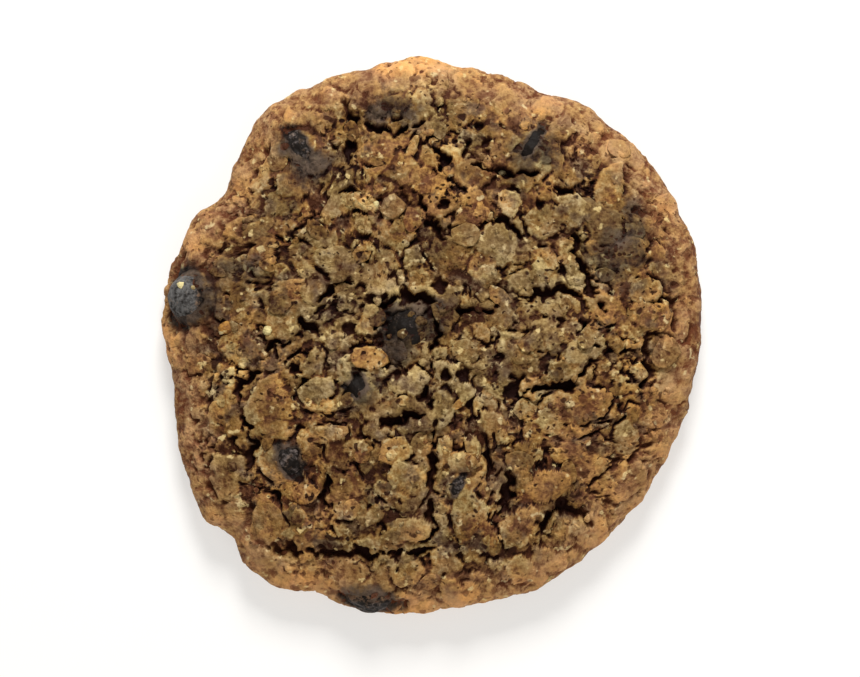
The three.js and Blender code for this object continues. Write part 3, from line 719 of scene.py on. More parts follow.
@dataclass(frozen=True)
class OatFinish:
    """Baked oats and dough, olive to russet, paler at the rim, with painted light and shade from the skin,
    and painted shade that makes them black in the gaps and pits.
    """

    olive: Colour = linear(120, 97, 61)
    tan: Colour = linear(128, 95, 52)
    russet: Colour = linear(98, 60, 38)
    dull: Colour = linear(98, 80, 62)
    rim: Colour = linear(175, 137, 94)
    rim_russet: Colour = linear(139, 97, 65)
    rim_pale: Colour = linear(219, 160, 102)
    chocolate: Colour = linear(62, 52, 43)
    slate: Colour = linear(92, 77, 66)
    slate_dark: Colour = linear(17, 14, 13)
    melt: Colour = linear(19, 13, 9)
    stain: Colour = (0.34, 0.37, 0.41)
    warm: Colour = (1.02, 1.0, 0.86)
    cool: Colour = (0.99, 1.0, 1.06)
    # Painted shade: the near black of the gaps and pores, its redder form on the rim, and the shadow colour
    # of low tone and pits.
    gap: Colour = linear(27, 7, 4)
    rim_gap_shade: Colour = linear(104, 59, 36)
    pore: Colour = linear(50, 25, 13)
    pale: Colour = linear(214, 192, 142)
    golden: Colour = linear(209, 161, 94)
    roughness: float = 0.68
    drift: float = 16.0
    cloud: float = 5.5
    patch: float = 3.6
    mottle: float = 1.6
    tinge: float = 3.2
    grit: float = 0.5
    crumb: float = 1.0
    pit: float = 0.75
    pock: float = 1.6
    fleck: float = 1.7
    darkest: float = 0.08
    level: float = 0.6
    mean: float = 0.745
    brightest: float = 1.85
    evening: float = 0.45
    dull_share: float = 0.8
    fleck_share: float = 0.75
    film_share: float = 0.92
    melt_share: float = 0.55
    slate_share: float = 0.88
    bump_depth: float = 0.28
    bump_strength: float = 0.85

    def make(self, name: str) -> bpy.types.Material:
        """Builds the material from the skin's attributes.

        Args:
            name: the material's name.

        Returns:
            The material.
        """
        graph = Graph(name)
        toast = graph.attribute("toast")
        plain = 1.0 - graph.attribute("even") * self.evening
        cloud = graph.noise(self.cloud, 2.0)
        mottle = graph.noise(self.mottle, 3.0, 0.6)
        grit = graph.noise(self.grit, 2.0, 0.6)
        crumb = graph.noise(self.crumb, 3.0, 0.6)

        # The oats' hue, duller in patches, and the toasted rim.
        hue = graph.attribute("hue") + mottle.swing(1.5) + cloud.swing(plain * 2.2) - crumb.swing(1.0)
        hue = hue + graph.noise(self.drift, 1.0).swing(2.2)
        colour = graph.mix(hue.between(0.0, 0.7), self.olive, self.tan)
        colour = graph.mix(hue.between(0.6, 1.3), colour, self.russet)
        dull = (graph.noise(self.patch, 2.0) + (plain - 0.8) * 0.2).between(0.52, 0.66)
        colour = graph.mix(dull * self.dull_share, colour, self.dull)
        browned = (mottle * 1.2 + cloud * 0.8 - crumb.swing(1.0)).between(0.85, 1.3)
        colour = graph.mix(toast, colour, graph.mix(browned, self.rim, self.rim_russet))

        # Light and dark: the tone carries the skin's painted light and shade, and sinks to a shadow colour,
        # partly painted shade and partly the crumb's own darker tone. Then pale flecks.
        tone = self.level + toast * 0.085 + graph.attribute("light") + cloud.swing(1.1) - dull * 0.12
        tone = tone + crumb.swing(plain * (2.1 - toast * 0.9)) + grit.swing(0.5) + mottle.swing(0.5)
        shadow = graph.mix(toast, self.pore, self.rim_gap_shade)
        colour = graph.mix(tone.between(self.darkest, self.mean, "LINEAR"), shadow, colour)
        bright = graph.mix(hue.between(0.2, 0.9), self.pale, self.golden)
        bright = graph.mix(toast * 0.9, bright, self.rim_pale)
        colour = graph.mix(tone.between(self.mean, self.brightest, "LINEAR"), colour, bright)
        fleck = (graph.noise(self.fleck, 1.0, 0.5) + crumb.swing(0.4)).between(0.66, 0.76)
        colour = graph.mix(fleck * self.fleck_share, colour, self.pale)
        tinge = graph.noise(self.tinge, 2.0).between(0.36, 0.64)
        colour = graph.mix(1.0, colour, graph.mix(tinge, self.warm, self.cool), "MULTIPLY")

        # Chocolate that has melted into the crumb and over it.
        film = (graph.attribute("film") + mottle.swing(1.4)).between(0.1, 1.0)
        melted = graph.mix(tone.between(0.0, self.mean, "LINEAR"), self.melt, self.chocolate)
        stained = graph.mix(1.0, colour, self.stain, "MULTIPLY")
        colour = graph.mix(film * self.film_share, colour, graph.mix(self.melt_share, stained, melted))
        slate = (graph.attribute("slate") + mottle.swing(0.9) + grit.swing(0.6)).between(0.15, 0.85)
        smear = graph.mix(tone.between(0.0, 1.1, "LINEAR"), self.slate_dark, self.slate)
        colour = graph.mix(slate * self.slate_share, colour, smear)

        # Small pits, gaps and pores, with painted shade: pits sink to the shadow colour, and gaps and pores
        # to near black.
        pit = (graph.noise(self.pit, 0.0) + cloud.swing(0.6) + plain * 0.2).between(0.87, 1.0)
        pit = pit + (graph.noise(self.pock, 0.0) + grit.swing(0.2) + plain * 0.2).between(0.86, 0.96)
        colour = graph.mix(pit * (0.95 - toast * 0.3), colour, shadow)
        dark = graph.attribute("gap") + graph.attribute("pore") * 0.5 + grit.swing(0.5)
        dark = dark + pit * (0.5 - toast * 0.4) - grit.swing(toast * 0.4)
        hole_shade = graph.mix(toast * 0.9, self.gap, self.rim_gap_shade)
        height = mottle * 0.5 + crumb * plain * 1.6 + grit * 0.35 - pit * 0.8
        return graph.finish(
            {"IOR": 1.45, "Specular IOR Level": 0.1},
            Base_Color=graph.mix(dark.between(0.18, 0.9), colour, hole_shade),
            Roughness=self.roughness - film * 0.1 + grit.swing(0.2),
            Normal=graph.bump(height, self.bump_depth, self.bump_strength),
        )


@dataclass(frozen=True)
class ChocolateFinish:
    """Dark chocolate that has melted, set again, bloomed grey and picked up crumb."""

    dark: Colour = linear(22, 17, 14)
    bloom: Colour = linear(119, 102, 97)
    frost: Colour = linear(108, 107, 106)
    dust: Colour = linear(138, 112, 88)
    dough: Colour = linear(104, 80, 60)
    roughness: float = 0.62
    cloud: float = 2.4
    grit: float = 0.6
    speck: float = 1.3
    bump_depth: float = 0.32
    bump_strength: float = 0.9

    def make(self, name: str, grey: float) -> bpy.types.Material:
        """Builds the material.

        Args:
            name: the material's name.
            grey: how much of the surface has bloomed, 0 to 1.

        Returns:
            The material.
        """
        graph = Graph(name)
        cloud = graph.noise(self.cloud, 4.0, 0.62)
        grit = graph.noise(self.grit, 2.0, 0.6)
        bloom = (cloud + grit.swing(0.6)).between(0.72 - 0.5 * grey, 1.02 - 0.3 * grey)
        colour = graph.mix(bloom, self.dark, graph.mix(grey, self.bloom, self.frost))
        coat = (graph.attribute("coat") + grit.swing(0.5) + cloud.swing(1.2)).between(0.2, 0.9)
        dough = graph.mix((cloud + grit.swing(1.0)).between(0.3, 0.6), self.dark, self.dough)
        colour = graph.mix(coat, colour, dough)
        dust = (graph.noise(self.speck, 3.0, 0.6) + grit.swing(0.4)).between(0.56, 0.72)
        return graph.finish(
            {"IOR": 1.5, "Specular IOR Level": 0.12},
            Base_Color=graph.mix(dust * (0.05 + 0.35 * grey), colour, self.dust),
            Roughness=self.roughness + bloom * 0.2,
            Normal=graph.bump(cloud * 0.6 + grit * 0.4 + dust * 0.3, self.bump_depth, self.bump_strength),
        )


def add_piece(name: str, mesh: bpy.types.Mesh, material: bpy.types.Material) -> bpy.types.Object:
    """Puts a finished mesh into the scene, riding on the cookie's body.

    Args:
        name: the piece's name.
        mesh: its mesh, already in place.
        material: its finish.

    Returns:
        The new object.
    """
    mesh.materials.append(material)
    mesh.polygons.foreach_set("use_smooth", np.ones(len(mesh.polygons), dtype=bool))
    piece = bpy.data.objects.new(name, mesh)
    bpy.context.scene.collection.objects.link(piece)
    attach(piece, BODY)
    LOG.info("%s: %d faces", name, len(mesh.polygons))
    return piece


def set_points(mesh: bpy.types.Mesh, points: Array) -> None:
    """Moves a mesh's vertices to places given in millimetres."""
    mesh.vertices.foreach_set("co", (points * MM).astype(np.float32).ravel())
    mesh.update()


def set_attribute(mesh: bpy.types.Mesh, name: str, values: Array) -> None:
    """Stores one number for each vertex."""
    layer = mesh.attributes.new(name, "FLOAT", "POINT")
    layer.data.foreach_set("value", np.asarray(values, dtype=np.float32))


def take_apart(bm: bmesh.types.BMesh) -> tuple[Array, list[Array]]:
    """Reads a bmesh and frees it.

    Args:
        bm: the bmesh.

    Returns:
        Its points, and its faces as lists of points' numbers.
    """
    bm.verts.index_update()
    points = np.array([vertex.co for vertex in bm.verts])
    faces = [np.array([vertex.index for vertex in face.verts]) for face in bm.faces]
    bm.free()
    return points, faces


def join_copies(name: str, points: Array, faces: list[Array]) -> bpy.types.Mesh:
    """Joins many copies of one small shape into one mesh.

    Args:
        name: the mesh's name.
        points: the copies' points in millimetres, copy by copy.
        faces: the shape's faces.

    Returns:
        The mesh.
    """
    copies, size, _ = points.shape
    every = [(face + size * i).tolist() for i in range(copies) for face in faces]
    mesh = bpy.data.meshes.new(name)
    mesh.from_pydata((points.reshape(-1, 3) * MM).tolist(), [], every)
    return mesh


def model_ball(detail: int) -> tuple[Array, list[Array]]:
    """Models a plain ball, 1 across, and gives its points and faces."""
    ball = bmesh.new()
    bmesh.ops.create_icosphere(ball, subdivisions=detail, radius=0.5)
    return take_apart(ball)


def carry_tones(mesh: bpy.types.Mesh, copies: int, tones: dict[str, Array]) -> None:
    """Stores what the crumb's finish reads, the same all over each copy.

    Args:
        mesh: the joined copies.
        copies: how many there are.
        tones: one value for each copy, by name; the others are 0.
    """
    size = len(mesh.vertices) // copies
    for name in Skin.CARRIED:
        set_attribute(mesh, name, np.repeat(tones.get(name, np.zeros(copies)), size))


@dataclass
class Chip:
    """A chocolate chip that shows in the crumb, with the oval where it is bare."""

    node: str
    bare: Patch
    grey: float
    coat: Patch | None = None
    rag: float = 0.4
    mound: float = 0.0
    melt: float = 0.75
    dents: Grain = Grain(2.2, 51)
    dent_depth: float = 0.35
    nicks: Grain = Grain(0.9, 53)
    nick_depth: float = 0.16
    rounds: int = 4
    detail: int = 5
    coat_edge: tuple[float, float] = (0.5, 1.2)

    def build(self) -> bpy.types.Object:
        """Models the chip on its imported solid.

        Returns:
            The chip's object, which replaces the solid.
        """
        solid = bmesh.new()
        solid.from_mesh(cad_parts[self.node].data)
        tree = BVHTree.FromBMesh(solid)
        solid.free()
        low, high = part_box(self.node)
        middle = (low + high) / 2
        drop = bmesh.new()
        bmesh.ops.create_icosphere(drop, subdivisions=self.detail, radius=1.0)
        for vertex in drop.verts:
            vertex.co = tree.ray_cast(middle, vertex.co.normalized())[0]
        for _ in range(self.rounds):
            bmesh.ops.smooth_vert(
                drop, verts=drop.verts, factor=0.5, use_axis_x=True, use_axis_y=True, use_axis_z=True
            )
        mesh = bpy.data.meshes.new(self.node + "_drop")
        drop.to_mesh(mesh)
        drop.free()
        points = np.array([vertex.co for vertex in mesh.vertices]) / MM
        normals = np.array([vertex.normal for vertex in mesh.vertices])
        dented = self.dent_depth * self.dents.at(points) + self.nick_depth * self.nicks.at(points)
        set_points(mesh, points + normals * dented[:, None])
        coated = np.zeros(len(points))
        if self.coat is not None:
            coated = self.coat.cover(points, 0.0, *self.coat_edge)
        set_attribute(mesh, "coat", coated)
        self.tree = BVHTree.FromPolygons(
            [vertex.co / MM for vertex in mesh.vertices], [tuple(face.vertices) for face in mesh.polygons]
        )
        self.middle = np.array(middle) / MM
        finish = ChocolateFinish().make(self.node, self.grey)
        piece = add_piece(self.node + "_drop", mesh, finish)
        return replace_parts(piece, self.node)


CHIPS: tuple[Chip, ...] = (
    Chip(
        "chip_left_rim", Patch(-41.6, 6.8, 8.0, 9.2), 1.0, Patch(-36.4, 6.6, 6.0, 12.0), 0.15, 4.9,
        melt=0.3, dent_depth=0.18, nick_depth=0.06,
    ),
    Chip("chip_upper_left", Patch(-22.3, 32.2, 6.0, 2.6, -48), 0.5),
    Chip("chip_upper_right", Patch(16.7, 32.2, 5.2, 1.8, 56), 0.0),
    Chip("chip_middle", Patch(-5.6, 2.6, 4.8, 3.8, 20), 0.15, rag=0.9),
    Chip("chip_inner_left", Patch(-12.4, -8.0, 2.8, 3.2, 20), 0.25, rag=0.6),
    Chip("chip_lower_left", Patch(-23.4, -20.2, 5.0, 3.4, -60), 0.45),
    Chip("chip_lower_middle", Patch(4.2, -24.4, 3.0, 1.5, 62), 0.5),
    Chip("chip_lower_rim", Patch(-10.4, -45.2, 7.6, 4.0, -4), 0.55, Patch(-10.4, -42.2, 12.0, 4.4)),
)


@dataclass
class Skin:
    """The crumb's surface while it is worked: where each vertex is and what it carries."""

    BIN = 2.5
    BINS = 50

    point: Array
    normal: Array
    rough: Array
    lift: Array = field(init=False)
    hue: Array = field(init=False)
    light: Array = field(init=False)
    toast: Array = field(init=False)
    # The share of painted shade in cracks, pits and hollows.
    gap: Array = field(init=False)
    pore: Array = field(init=False)
    film: Array = field(init=False)
    slate: Array = field(init=False)
    even: Array = field(init=False)
    # Painted shade from the listed patches; below 0 it is painted light.
    painted_light_shade: Array = field(init=False)

    CARRIED = ("hue", "light", "toast", "gap", "pore", "film", "slate", "even")

    def __post_init__(self) -> None:
        """Starts flat and plain, with the vertices sorted into upright columns."""
        count = len(self.point)
        for name in ("lift", "light", "toast", "gap", "pore", "film", "slate", "even", "painted_light_shade"):
            setattr(self, name, np.zeros(count))
        self.hue = np.full(count, 0.5)
        column = self._column(self.point)
        self._order = np.argsort(column, kind="stable")
        self._sorted = column[self._order]

    def _column(self, places: Array) -> Array:
        """Numbers the upright columns of space that places stand in."""
        cell = np.clip((places[..., :2] / self.BIN + self.BINS / 2).astype(int), 0, self.BINS - 1)
        return cell[..., 0] * self.BINS + cell[..., 1]

    def moved(self) -> Array:
        """Gives the points with their lift along the normals."""
        return self.point + self.normal * self.lift[:, None]

    def around(self, x: float, y: float, reach: float) -> Array:
        """Finds the vertices in a square around a place, seen from above.

        Args:
            x: the place to the right.
            y: the place upwards in the picture.
            reach: half the square's side.

        Returns:
            The vertices' numbers.
        """
        first, last = (self._column(np.array((x + side, y + side))) for side in (-reach, reach))
        parts = []
        for row in range(first // self.BINS, last // self.BINS + 1):
            ends = row * self.BINS + np.array((first % self.BINS, last % self.BINS + 1))
            span = np.searchsorted(self._sorted, ends)
            parts.append(self._order[span[0]:span[1]])
        found = np.concatenate(parts)
        return found[np.abs(self.point[found, :2] - (x, y)).max(axis=1) < reach]

    def near(self, place: Array, reach: float) -> Array:
        """Finds the vertices within reach of a place.

        Args:
            place: a point in millimetres.
            reach: the distance.

        Returns:
            The vertices' numbers.
        """
        found = self.around(place[0], place[1], reach)
        away = self.point[found] - place
        return found[np.einsum("ij,ij->i", away, away) < reach * reach]


class Corners:
    """A flake's uneven outline with five to eight straight sides, about 1 out from its middle."""

    SIDES = (5, 9)
    UNEVEN = 0.3
    NEAREST = 0.74
    ROUND = 1.08

    def __init__(self, draws: np.random.Generator) -> None:
        """Draws the sides' headings and how far out they lie."""
        count = int(draws.integers(*self.SIDES))
        turn = (np.arange(count) + draws.uniform(-self.UNEVEN, self.UNEVEN, count)) * math.tau / count
        turn += draws.uniform(0.0, math.tau)
        out = draws.uniform(self.NEAREST, 1.0, count)
        self.side = np.stack((np.cos(turn), np.sin(turn)), axis=1) / out[:, None]

    def reach(self, across: Array, along: Array) -> Array:
        """Measures how far out places lie.

        Args:
            across: places across, in half widths of the flake.
            along: places along, in half lengths of the flake.

        Returns:
            0 in the middle and 1 on the outline.
        """
        sides = (along[:, None] * self.side[:, 0] + across[:, None] * self.side[:, 1]).max(axis=1)
        return np.maximum(sides, np.hypot(across, along) / self.ROUND)


@dataclass(frozen=True)
class FlakeKind:
    """Flakes strewn by chance: how many, how long, how high over the dome and how evenly toned."""

    count: int
    sizes: tuple[float, float]
    levels: tuple[float, float]
    even: float


@dataclass
class FlakeBed:
    """Rolled oats baked into the crumb, as plates that raise its skin."""

    kinds: tuple[FlakeKind, ...] = (
        FlakeKind(1500, (1.6, 3.8), (-0.4, -0.1), 0.0), FlakeKind(320, (4.0, 8.4), (-0.2, 0.2), 0.7),
    )
    chances: tuple[float, ...] = (0.2, 0.05, 0.2, 0.04, 0.09, 0.25, 0.17)
    spread: float = 0.3
    widths: tuple[float, float] = (0.55, 0.95)
    bends: tuple[float, float] = (-0.18, 0.12)
    strength: float = 0.5
    named_level: float = 0.4
    named_even: float = 0.85
    named_strength: float = 0.65
    # Painted highlight along each flake's edge.
    edge_highlight: float = 0.2
    outermost: float = 0.97
    seed: int = 7
    reach: float = 0.95
    gap_depth: float = 0.5
    edge_drop: float = 0.12
    wall: float = 0.3
    unevenness: float = 0.12
    crevice: float = 0.6
    crevice_depth: float = 1.0
    deepest: float = -1.2
    ragged: Grain = Grain(0.9, 11)
    broken: Grain = Grain(2.4, 15)

    def lay(self, form: DoughForm, skin: Skin) -> None:
        """Sinks the skin to the gaps' floor and raises the flakes out of it.

        Args:
            form: the crumb's smooth form.
            skin: the skin to shape.
        """
        draws = np.random.default_rng(self.seed)
        self.rag = self.ragged.at(skin.point)
        self.opening = self.broken.at(skin.point)
        skin.lift[:] = -self.gap_depth * skin.rough
        for kind in self.kinds:
            for k in range(kind.count):
                self._scatter(form, skin, draws, k, kind)
        for flake in NAMED_FLAKES:
            self._raise(form, skin, draws, flake, self.named_level, self.named_even, self.named_strength)

    def _scatter(self, form: DoughForm, skin: Skin, draws: np.random.Generator, k: int,
                 kind: FlakeKind) -> None:
        """Lays one flake by a sunflower's rule, with its size, turn and shade drawn.

        Args:
            form: the crumb's smooth form.
            skin: the skin to shape.
            draws: where its chances come from.
            k: its number in its kind.
            kind: what its kind is like.
        """
        largest = kind.sizes[1]
        place = form.sunflower(k, kind.count, self.reach, largest)
        x, y = place + draws.normal(0.0, largest * self.spread, 2)
        length = draws.uniform(*kind.sizes)
        width = length * draws.uniform(*self.widths)
        tint = draws.choice(list(Tint), p=self.chances)
        flake = Flake(x, y, length, width, draws.uniform(0, 360), draws.normal(0, 6), tint)
        self._raise(form, skin, draws, flake, draws.uniform(*kind.levels), kind.even, self.strength)

    def _raise(self, form: DoughForm, skin: Skin, draws: np.random.Generator, flake: Flake, level: float,
               even: float, strength: float) -> None:
        """Raises the skin to one flake's plate where the plate stands highest.

        Args:
            form: the crumb's smooth form.
            skin: the skin to shape.
            draws: where its chances come from.
            flake: the flake.
            level: its height over the dome.
            even: how evenly toned it is, 0 to 1.
            strength: how much of its shade's lightness it has.
        """
        corners = Corners(draws)
        shade = draws.normal(0.0, 0.08, 2)
        bend = draws.uniform(*self.bends)
        if form.share(flake.x, flake.y) > self.outermost:
            return
        found = skin.around(flake.x, flake.y, 0.62 * flake.length)
        x, y = (skin.point[found, :2] - (flake.x, flake.y)).T
        along, across = along_across(x, y, flake.heading)
        out = 2 * across / flake.width
        edge = corners.reach(out, 2 * along / flake.length) + self.unevenness * self.rag[found]
        height = level + math.tan(math.radians(flake.tilt)) * along + bend * out**2
        outside = (edge - 1.0) * flake.width / 2
        self._open_crevice(skin, found, outside, height - self.edge_drop, shade[0], flake.length)
        height -= self.edge_drop * smoothstep(edge, 0.7, 1.0) + self.wall * smoothstep(edge, 0.9, 1.02)
        height *= skin.rough[found]
        higher = (edge < 1.0) & (height > skin.lift[found])
        taken = found[higher]
        hue, light = flake.tint.value
        skin.lift[taken] = height[higher]
        skin.even[taken] = even
        skin.hue[taken] = hue + shade[0]
        # Painted highlight along the flake's edge.
        highlight = self.edge_highlight * smoothstep(edge[higher], 0.7, 1.0)
        skin.light[taken] = strength * light + shade[1] + highlight

    def _open_crevice(self, skin: Skin, found: Array, outside: Array, height: Array, shift: float,
                      length: float) -> None:
        """Sinks the skin along parts of a flake's edge, where the flake stands over its neighbours.

        Args:
            skin: the skin to shape.
            found: the vertices around the flake.
            outside: how far each of them lies out of the flake's outline.
            height: the flake's height there.
            shift: how much more of the edge is open, from the flake's own draw.
            length: the flake's length.
        """
        reach = self.crevice * min(1.0, 0.3 + length / 8.0)
        part = smoothstep(self.opening[found] + shift, 0.02, 0.3)
        fade = 1.0 - smoothstep(outside, 0.4 * reach, reach)
        depth = self.crevice_depth * part * fade * skin.rough[found]
        under = (outside >= 0.0) & (outside < reach) & (height * skin.rough[found] > skin.lift[found])
        sunk = found[under]
        before = skin.lift[sunk]
        skin.lift[sunk] = np.maximum(before - depth[under], np.minimum(self.deepest, before))


@dataclass
class CrumbGrain:
    """The crumb's grains: lumps pressed together, with pores where three of them meet."""

    lumps: Cells = Cells(3.2, 61)
    grains: Cells = Cells(2.0, 67)
    bends: tuple[Grain, ...] = (Grain(1.1, 81), Grain(1.1, 82), Grain(1.1, 83))
    patches: Grain = Grain(6.0, 71)
    bend: float = 0.4
    lump_lift: float = 0.09
    grain_lift: float = 0.05
    seam_depth: float = 0.4
    pore_depth: float = 0.6
    crumbly: tuple[float, float] = (-0.1, 0.4)
    seam_edge: tuple[float, float] = (0.02, 0.15)
    pore_edge: tuple[float, float] = (0.08, 0.24)
    tone: float = 0.07

    def press(self, skin: Skin) -> None:
        """Shapes the grains and opens the gaps between them.

        Args:
            skin: the skin to shape.
        """
        bent = skin.point + self.bend * np.stack([grain.at(skin.point) for grain in self.bends], axis=1)
        crumbly = smoothstep(self.patches.at(skin.point), *self.crumbly) * (1.0 - 0.9 * skin.even)
        draw, seam, _ = self.lumps.at(bent)
        open_seam = (1.0 - smoothstep(seam, *self.seam_edge)) * crumbly * skin.rough
        skin.lift += self.lump_lift * draw * skin.rough - self.seam_depth * open_seam
        skin.light += self.tone * draw
        draw, seam, corner = self.grains.at(bent)
        pore = 1.0 - smoothstep(corner + 0.16 * (1.0 - crumbly), *self.pore_edge)
        pore = pore * (0.35 + 0.65 * skin.rough)
        grain = self.grain_lift * (draw + smoothstep(seam, 0.0, 0.5)) * (0.3 + 0.7 * crumbly)
        skin.lift += grain * skin.rough - self.pore_depth * pore
        # Open pores and seams are marked for painted shade in the finish.
        opened = np.maximum(pore, 0.8 * open_seam)
        skin.pore[:] = np.maximum(skin.pore, opened) * smoothstep(skin.rough, 0.3, 0.9)


@dataclass
class Fissures:
    """The cracks and the larger gaps in the crumb."""

    crack_depth: float = 2.2
    pit_depth: float = 1.5
    widening: float = 1.15
    steps: int = 60
    margin: float = 2.0
    fine_rag: float = 0.6
    coarse_rag: float = 0.7
    crack_rag: float = 1.25
    crack_edge: tuple[float, float] = (0.5, 1.3)
    pit_rag: float = 0.9
    pit_edge: tuple[float, float] = (0.5, 1.1)
    fine: Grain = Grain(0.8, 31)
    coarse: Grain = Grain(2.0, 33)
    wander: Grain = Grain(1.8, 37)

    def cut(self, skin: Skin) -> None:
        """Sinks every crack and pit into the skin.

        Args:
            skin: the skin to shape.
        """
        rag = self.fine_rag * self.fine.at(skin.point) + self.coarse_rag * self.coarse.at(skin.point)
        for crack in CRACKS:
            self._crack(skin, rag, crack)
        for x, y, radius in PITS:
            found = skin.around(x, y, 2.2 * radius)
            away = np.hypot(skin.point[found, 0] - x, skin.point[found, 1] - y) / radius
            away += self.pit_rag * rag[found]
            self._sink(skin, found, 1.0 - smoothstep(away, *self.pit_edge), self.pit_depth)

    @staticmethod
    def _sink(skin: Skin, found: Array, share: Array, depth: float) -> None:
        """Lowers vertices by a share of a depth and marks them for the painted shade of the gaps."""
        skin.lift[found] = np.minimum(skin.lift[found], skin.lift[found] * (1 - share) - depth * share)
        skin.gap[found] = np.maximum(skin.gap[found], share)

    def _crack(self, skin: Skin, rag: Array, crack: Crack) -> None:
        """Sinks one crack along its arc.

        Args:
            skin: the skin to shape.
            rag: what makes its edges uneven, for each vertex.
            crack: the crack.
        """
        start, end = np.array(crack.start), np.array(crack.end)
        chord = end - start
        left = np.array((-chord[1], chord[0])) / np.linalg.norm(chord)
        share = np.linspace(0.0, 1.0, self.steps)
        arc = start + share[:, None] * chord + (4 * crack.bow * share * (1 - share))[:, None] * left
        lane = np.column_stack((arc, np.full(self.steps, 5.0)))
        arc += (self.wander.at(lane) + self.fine_rag * self.fine.at(lane))[:, None] * left
        reach = np.linalg.norm(chord) / 2 + abs(crack.bow) + self.margin
        centre = start + chord / 2
        found = skin.around(centre[0], centre[1], reach)
        away = np.linalg.norm(skin.point[found, None, :2] - arc[None], axis=2)
        nearest = away.argmin(axis=1)
        girth = np.sqrt(np.sin(math.pi * np.clip(share, 0.02, 0.98)))
        girth *= np.clip(0.8 + 1.1 * self.coarse.at(lane + 7.0), 0.2, 1.5)
        girth = self.widening * crack.width / 2 * girth[nearest]
        apart = away.min(axis=1) / girth + self.crack_rag * rag[found]
        depth = self.crack_depth * min(1.0, crack.width)
        self._sink(skin, found, 1.0 - smoothstep(apart, *self.crack_edge), depth)


@dataclass
class Sheet:
    """A fine square sheet rounded off to a disc, closed by a coarser one below."""

    name: str
    cells: int
    under_cells: int
    reach: float
    under_baked: tuple[tuple[str, float], ...] = (("hue", 0.8), ("light", -0.35), ("toast", 0.55))

    def __post_init__(self) -> None:
        """Makes both grids and joins them at their edges."""
        bm = bmesh.new()
        bmesh.ops.create_grid(bm, x_segments=self.cells, y_segments=self.cells, size=1.0)
        count = len(bm.verts)
        bmesh.ops.create_grid(bm, x_segments=self.under_cells, y_segments=self.under_cells, size=1.0)
        square = np.array([vertex.co[:2] for vertex in bm.verts])
        out, heading = self._round_off(square[:, 0], square[:, 1])
        for vertex, away, turn in zip(bm.verts, out, heading):
            vertex.co = (away * math.cos(turn), away * math.sin(turn), 0.0)
        bm.verts.ensure_lookup_table()
        for vertex in bm.verts[count:]:
            vertex.co = vertex.co * 0.9 - Vector((0.0, 0.0, 0.1))
        bmesh.ops.bridge_loops(bm, edges=[edge for edge in bm.edges if edge.is_boundary])
        bmesh.ops.recalc_face_normals(bm, faces=bm.faces)
        self.mesh = bpy.data.meshes.new(self.name)
        bm.to_mesh(self.mesh)
        bm.free()
        self.way, self.heading = self.reach * out[:count], heading[:count]
        self.under_out, self.under_heading = out[count:], heading[count:]
        self._order = np.lexsort((np.round(square[:count, 0], 5), np.round(square[:count, 1], 5)))

    @staticmethod
    def _round_off(u: Array, v: Array) -> tuple[Array, Array]:
        """Maps a square onto a disc of even cells.

        Args:
            u: places across the square, -1 to 1.
            v: places along the square, -1 to 1.

        Returns:
            The way out from the middle, 0 to 1, and the heading in radians.
        """
        wide = np.abs(u) >= np.abs(v)
        first = np.where(wide, u, v)
        second = np.where(wide, v, u)
        part = np.divide(second, first, out=np.zeros_like(first), where=np.abs(first) > 1e-9) * math.pi / 4
        heading = np.where(wide, part, math.pi / 2 - part) + np.where(first < 0, math.pi, 0.0)
        return np.abs(first), np.arctan2(np.sin(heading), np.cos(heading))

    def average(self, values: Array, rounds: int) -> Array:
        """Evens values out over the fine grid.

        Args:
            values: one value for each of the fine grid's vertices.
            rounds: how often each vertex takes the mean of its neighbours.

        Returns:
            The evened values, in the vertices' order.
        """
        side = self.cells + 1
        table = values[self._order].reshape(side, side)
        for _ in range(rounds):
            padded = np.pad(table, 1, mode="edge")
            table = (padded[:-2, 1:-1] + padded[2:, 1:-1] + padded[1:-1, :-2] + padded[1:-1, 2:]
                     + padded[1:-1, 1:-1]) / 5.0
        evened = np.empty_like(values)
        evened[self._order] = table.ravel()
        return evened

    def write(self, skin: Skin, points: Array, floor: Array) -> bpy.types.Mesh:
        """Moves the mesh into shape and stores what its finish reads.

        Args:
            skin: the worked skin of the fine sheet.
            points: the fine sheet's points.
            floor: the coarse sheet's points.

        Returns:
            The mesh.
        """
        set_points(self.mesh, np.concatenate((points, floor)))
        baked = dict(self.under_baked)
        for name in Skin.CARRIED:
            below = np.full(len(floor), baked.get(name, 0.0))
            set_attribute(self.mesh, name, np.concatenate((getattr(skin, name), below)))
        return self.mesh


